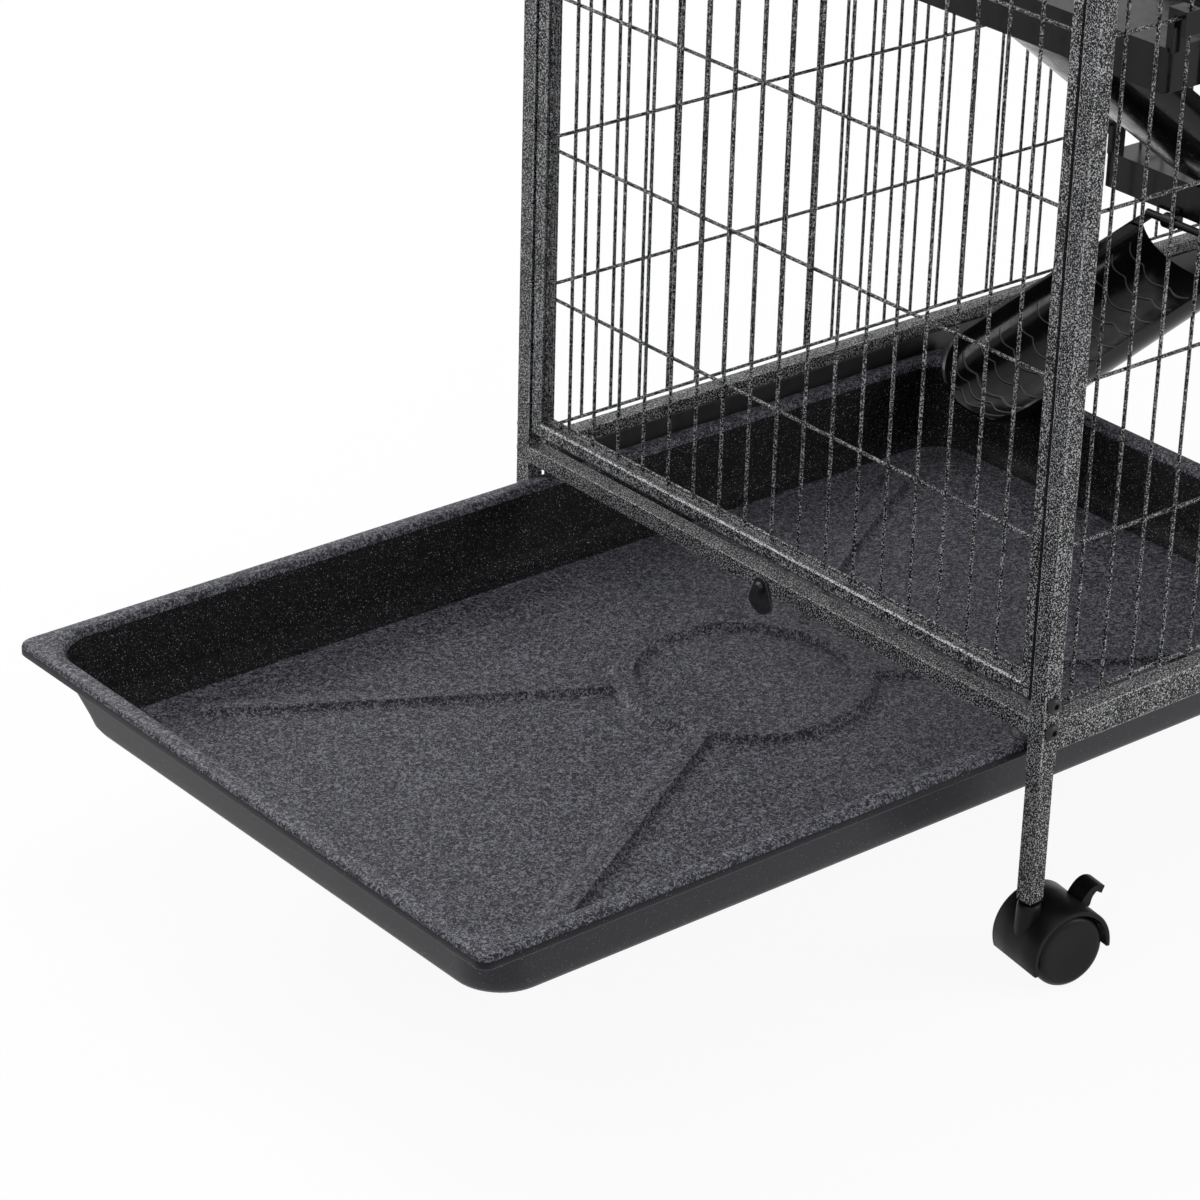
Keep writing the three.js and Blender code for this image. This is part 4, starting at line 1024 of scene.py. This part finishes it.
AXLE_HEIGHT, LEG_BOTTOM = -155.6, -123.2
TRAIL, WHEEL, CASTER_WIDTH = 18.8, 24.4, 45.0  # offset from the stem, wheel radius, width
HOOD_INNER, HOOD_OUTER = 25.6, 28.6
HOOD_START, HOOD_END, HOOD_EDGE = -4, 200, 1.0  # degrees, and the rounding of its open edges
HUB_INNER, HUB_OUTER, WEB_HALF = 3.9, 7.5, 2
WHEEL_INSET, WHEEL_GAP = 1.2, 2.8
STEM, STEM_LENGTH, SEAT_DROP = 2.8, 18.4, 2.5
CASTER_TURNS = dict(zip(CORNERS, (-9, 7, -14, 4)))  # degrees, as each hood stands at rest
BRAKE_ANGLE, BRAKE_HALF_ANGLE, BRAKE_SLOT = 48.0, 12, 8.0
ARC_STEPS = 40


def post_axis(corner):
    """Where a corner's post stands, and its leg and caster below it."""
    x = POST / 2 if corner.startswith("exit") else LENGTH - POST / 2
    y = -WIDTH + POST / 2 if corner.endswith("front") else -POST / 2
    return x, y


def arc_band(inner, outer, first, last, y):
    """An arc-shaped outline round the axle, at one place across it."""
    ring = []
    for radius, backwards in ((outer, False), (inner, True)):
        for k in range(ARC_STEPS + 1):
            share = 1 - k / ARC_STEPS if backwards else k / ARC_STEPS
            angle = math.radians(first + (last - first) * share)
            ring.append((TRAIL + radius * math.cos(angle), y, radius * math.sin(angle)))
    return ring


def hood_part(build, first, last, low, high):
    """A stretch of the hood's shell, with its edge rounded where it ends in the open."""
    open_low = low < -BRAKE_SLOT
    open_high = high > BRAKE_SLOT
    rows = [(low + HOOD_EDGE * open_low, 0), (high - HOOD_EDGE * open_high, 0)]
    if open_low:
        rows.insert(0, (low, HOOD_EDGE))
    if open_high:
        rows.append((high, HOOD_EDGE))
    skin = [arc_band(HOOD_INNER, HOOD_OUTER - drop * 0.7, first, last, y) for y, drop in rows]
    build.rings(skin)


def caster(corner):
    x, y = post_axis(corner)
    turn = Matrix.Rotation(math.radians(CASTER_TURNS[corner]), 4, "Z")
    place = Matrix.Translation((x, y, AXLE_HEIGHT)) @ turn
    caster_hood(corner, place)
    caster_wheels(corner, place)


def caster_hood(corner, place):
    half = CASTER_WIDTH / 2
    hood = Build(place)
    hood_part(hood, HOOD_START, HOOD_END, -half, -BRAKE_SLOT)
    hood_part(hood, HOOD_START, HOOD_END, BRAKE_SLOT, half)
    hood_part(hood, HOOD_START, BRAKE_ANGLE - BRAKE_HALF_ANGLE, -BRAKE_SLOT, BRAKE_SLOT)
    hood_part(hood, BRAKE_ANGLE + BRAKE_HALF_ANGLE, HOOD_END, -BRAKE_SLOT, BRAKE_SLOT)
    sides = (-WEB_HALF, WEB_HALF)
    hood.rings([arc_band(HUB_INNER, HOOD_INNER + 1, 15, 180, y) for y in sides])
    hood.rings([arc_band(HUB_INNER, HUB_OUTER, 0, 350, y) for y in sides])
    top = LEG_BOTTOM - AXLE_HEIGHT - SEAT_DROP
    seat = [(8.4, 8), (8.3, 14), (8.1, 20), (7.7, 26), (7.3, top - 0.8), (6.6, top), (STEM, top)]
    stem = [(STEM, top + STEM_LENGTH), (0, top + STEM_LENGTH + 0.1)]
    hood.lathe(seat + stem, (0, 0, 0), (0, 0, 1), 32)
    name = "caster_hood_" + corner
    hood.object(name + "_looks", SATIN, body_of(name), [name], 38)


def caster_wheels(corner, place):
    wheel = Build(place)
    face = CASTER_WIDTH / 2 - WHEEL_INSET
    disc = [
        (0, face - 0.5),
        (12, face - 0.4),
        (18.6, face),
        (20.6, face - 0.1),
        (21.8, face - 0.7),
        (23.4, face - 2.2),
        (24.1, face - 3.6),
        (WHEEL, face - 5.0),
        (WHEEL, WHEEL_GAP + 1.2),
        (23.6, WHEEL_GAP),
        (3.5, WHEEL_GAP),
    ]
    profile = disc + [(r, -h) for r, h in disc[::-1]]
    wheel.lathe(profile, (TRAIL, 0, 0), (0, 1, 0), 56)
    name = "caster_wheel_" + corner
    wheel.object(name + "_looks", SATIN, body_of(name), [name], 30)


SCREW_HEAD, SCREW_HEIGHT, SCREW_REACH, SCREW_SHANK = 5.3, 3.2, 17.0, 2.3
SCREW_SETBACK = 6.3  # from the post's end face to each screw's axis
SCREW_STEPS = 36
SIXTH = math.pi / 3


def screw(name, spot, outward):
    """A button-head screw with a hexagon socket, its seat on spot and its head outwards."""
    along = Vector(outward)
    side = along.orthogonal().normalized()
    up = along.cross(side)
    head, height = SCREW_HEAD, SCREW_HEIGHT
    profile = [
        (TINY, -SCREW_REACH, False),
        (SCREW_SHANK, -SCREW_REACH, False),
        (SCREW_SHANK, 0.3, False),
        (head - 0.3, 0.3, False),
        (head, 0.6, False),
        (head * 0.985, height * 0.34, False),
        (head * 0.9, height * 0.62, False),
        (head * 0.74, height * 0.85, False),
        (head * 0.56, height * 0.97, False),
        (head * 0.42, height, True),
        (head * 0.36, height - 0.25, True),
        (head * 0.35, height * 0.4, True),
        (TINY, height * 0.36, True),
    ]
    rings = []
    for radius, rise, hexagonal in profile:
        ring = []
        for k in range(SCREW_STEPS):
            angle = 2 * math.pi * k / SCREW_STEPS
            flat = math.cos(SIXTH / 2) / math.cos((angle % SIXTH) - SIXTH / 2)
            r = radius * (flat * 1.08 if hexagonal else 1.0)
            out = side * math.cos(angle) + up * math.sin(angle)
            ring.append(Vector(spot) + out * r + along * rise)
        rings.append(ring)
    build = Build()
    build.rings(rings)
    build.object(name + "_looks", SCREW, "frame", [name])


def corner_screws(corner):
    x, y = post_axis(corner)
    out_x = -1 if corner.startswith("exit") else 1
    out_y = -1 if corner.endswith("front") else 1
    for level in ("lower", "upper", "top"):
        name = f"{level}_screw_{corner}"
        low, high = cage_box(name)
        across = x + out_x * (POST / 2 - SCREW_SETBACK)
        screw(name, (across, y + out_y * POST / 2, (low.z + high.z) / 2), (0, out_y, 0))


for corner in CORNERS:
    caster(corner)
    corner_screws(corner)

# ------------------------------------------------------------------ pieces kept from the frame

for corner in CORNERS:
    # the last argument paints a highlight on the rounded edges
    finish_node("post_" + corner, HAMMERTONE, 0.8, EDGE_HIGHLIGHT)
    finish_node("leg_" + corner, HAMMERTONE, 0.8, EDGE_HIGHLIGHT)
    finish_node("leg_insert_" + corner, SATIN, 0.4)
    finish_node("brake_lever_" + corner, SATIN, 0.6)
for node in ("end_rail_exit", "end_rail_far", "side_rail_front", "side_rail_back"):
    finish_node(node, HAMMERTONE, 0.8, EDGE_HIGHLIGHT)
for node in ("tray_runner_front", "tray_runner_back"):
    finish_node(node, RUNNER, 0.3)
finish_node("tray_latch", SCREW, 0.4, EDGE_HIGHLIGHT)
finish_node("tray_latch_screw", SCREW, 0.4)
for level in ("lower", "upper"):
    finish_node(level + "_door_latch", SATIN, 0.4)
for level in ("lower", "middle", "upper"):
    finish_node(level + "_shelf", GLOSS, 0.8)

# ------------------------------------------------------------------ stage and light

FLOOR_SIZE = 40.0  # metres
FLOOR_WHITE = 0.80
FLOOR_GLOW = 0.93  # the share of plain white in what the camera sees; the rest takes the shadow
FLOOR_DROP = 0.0004
SOFT_LIGHT = 0.50


def seen_directly(tree):
    """1 for camera, glossy and transmission rays, and 0 for the light on the object."""
    path = tree.nodes.new("ShaderNodeLightPath").outputs
    seen = path["Is Camera Ray"]
    for ray in ("Is Glossy Ray", "Is Transmission Ray"):
        either = tree.nodes.new("ShaderNodeMath")
        either.operation = "MAXIMUM"
        tree.links.new(seen, either.inputs[0])
        tree.links.new(path[ray], either.inputs[1])
        seen = either.outputs[0]
    return seen


def mix_shaders(tree, share, first, second, out):
    mix = tree.nodes.new("ShaderNodeMixShader")
    tree.links.new(share, mix.inputs[0])
    tree.links.new(first.outputs[0], mix.inputs[1])
    tree.links.new(second.outputs[0], mix.inputs[2])
    tree.links.new(mix.outputs[0], out.inputs[0])


def stage_material():
    """A pale floor that shows white to the camera but keeps the object's shadow."""
    material = bpy.data.materials.new("stage_white")
    material.use_nodes = True
    tree = material.node_tree
    tree.nodes.clear()
    out = tree.nodes.new("ShaderNodeOutputMaterial")
    diffuse = tree.nodes.new("ShaderNodeBsdfDiffuse")
    diffuse.inputs["Color"].default_value = (FLOOR_WHITE, FLOOR_WHITE, FLOOR_WHITE, 1)
    glow = tree.nodes.new("ShaderNodeEmission")
    glow.inputs["Strength"].default_value = 1.0
    share = tree.nodes.new("ShaderNodeMath")
    share.operation = "MULTIPLY"
    share.inputs[1].default_value = FLOOR_GLOW
    tree.links.new(seen_directly(tree), share.inputs[0])
    mix_shaders(tree, share.outputs[0], diffuse, glow, out)
    return material


def add_floor():
    half = FLOOR_SIZE / 2
    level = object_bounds()[0][2] - FLOOR_DROP
    mesh = bpy.data.meshes.new("stage_floor")
    corners = [(x * half, y * half, level) for x, y in ((-1, -1), (1, -1), (1, 1), (-1, 1))]
    mesh.from_pydata(corners, [], [(0, 1, 2, 3)])
    mesh.materials.append(stage_material())
    floor = bpy.data.objects.new("stage_floor", mesh)
    bpy.context.scene.collection.objects.link(floor)


def background(tree, colour, strength):
    made = tree.nodes.new("ShaderNodeBackground")
    made.inputs["Color"].default_value = (*colour, 1)
    made.inputs["Strength"].default_value = strength
    return made


def add_world():
    """Soft light on the object, and plain white behind it and in its reflections."""
    world = bpy.data.worlds.new("studio")
    bpy.context.scene.world = world
    world.use_nodes = True
    tree = world.node_tree
    tree.nodes.clear()
    out = tree.nodes.new("ShaderNodeOutputWorld")
    soft = background(tree, (0.92, 0.94, 1.0), SOFT_LIGHT)
    white = background(tree, (1, 1, 1), 1.0)
    mix_shaders(tree, seen_directly(tree), soft, white, out)


def add_lamp(name, place, target, size, power):
    data = bpy.data.lights.new(name, "AREA")
    data.shape = "RECTANGLE"
    data.size = size[0]
    data.size_y = size[1]
    data.energy = power
    lamp = bpy.data.objects.new(name, data)
    lamp.location = place
    direction = Vector(target) - Vector(place)
    lamp.rotation_euler = direction.to_track_quat("-Z", "Y").to_euler()
    bpy.context.scene.collection.objects.link(lamp)


def add_lights():
    """Softboxes: places and targets in metres, sizes in metres, powers in watts."""
    foot = (0, 0, 0.2)
    add_lamp("key_softbox", (2.4, -3.0, 1.9), (0, 0, 0.5), (1.8, 1.8), 60)
    add_lamp("back_softbox", (-0.5, 3.2, 2.3), foot, (2.4, 1.4), 90)
    add_lamp("side_softbox", (-1.7, 0.6, 1.9), (-0.3, 0, 0.6), (0.9, 0.9), 9)
    add_lamp("top_softbox", (-0.4, 0.2, 3.6), foot, (1.8, 1.8), 25)


add_floor()
add_world()
add_lights()
bpy.context.scene.view_settings.view_transform = "Standard"
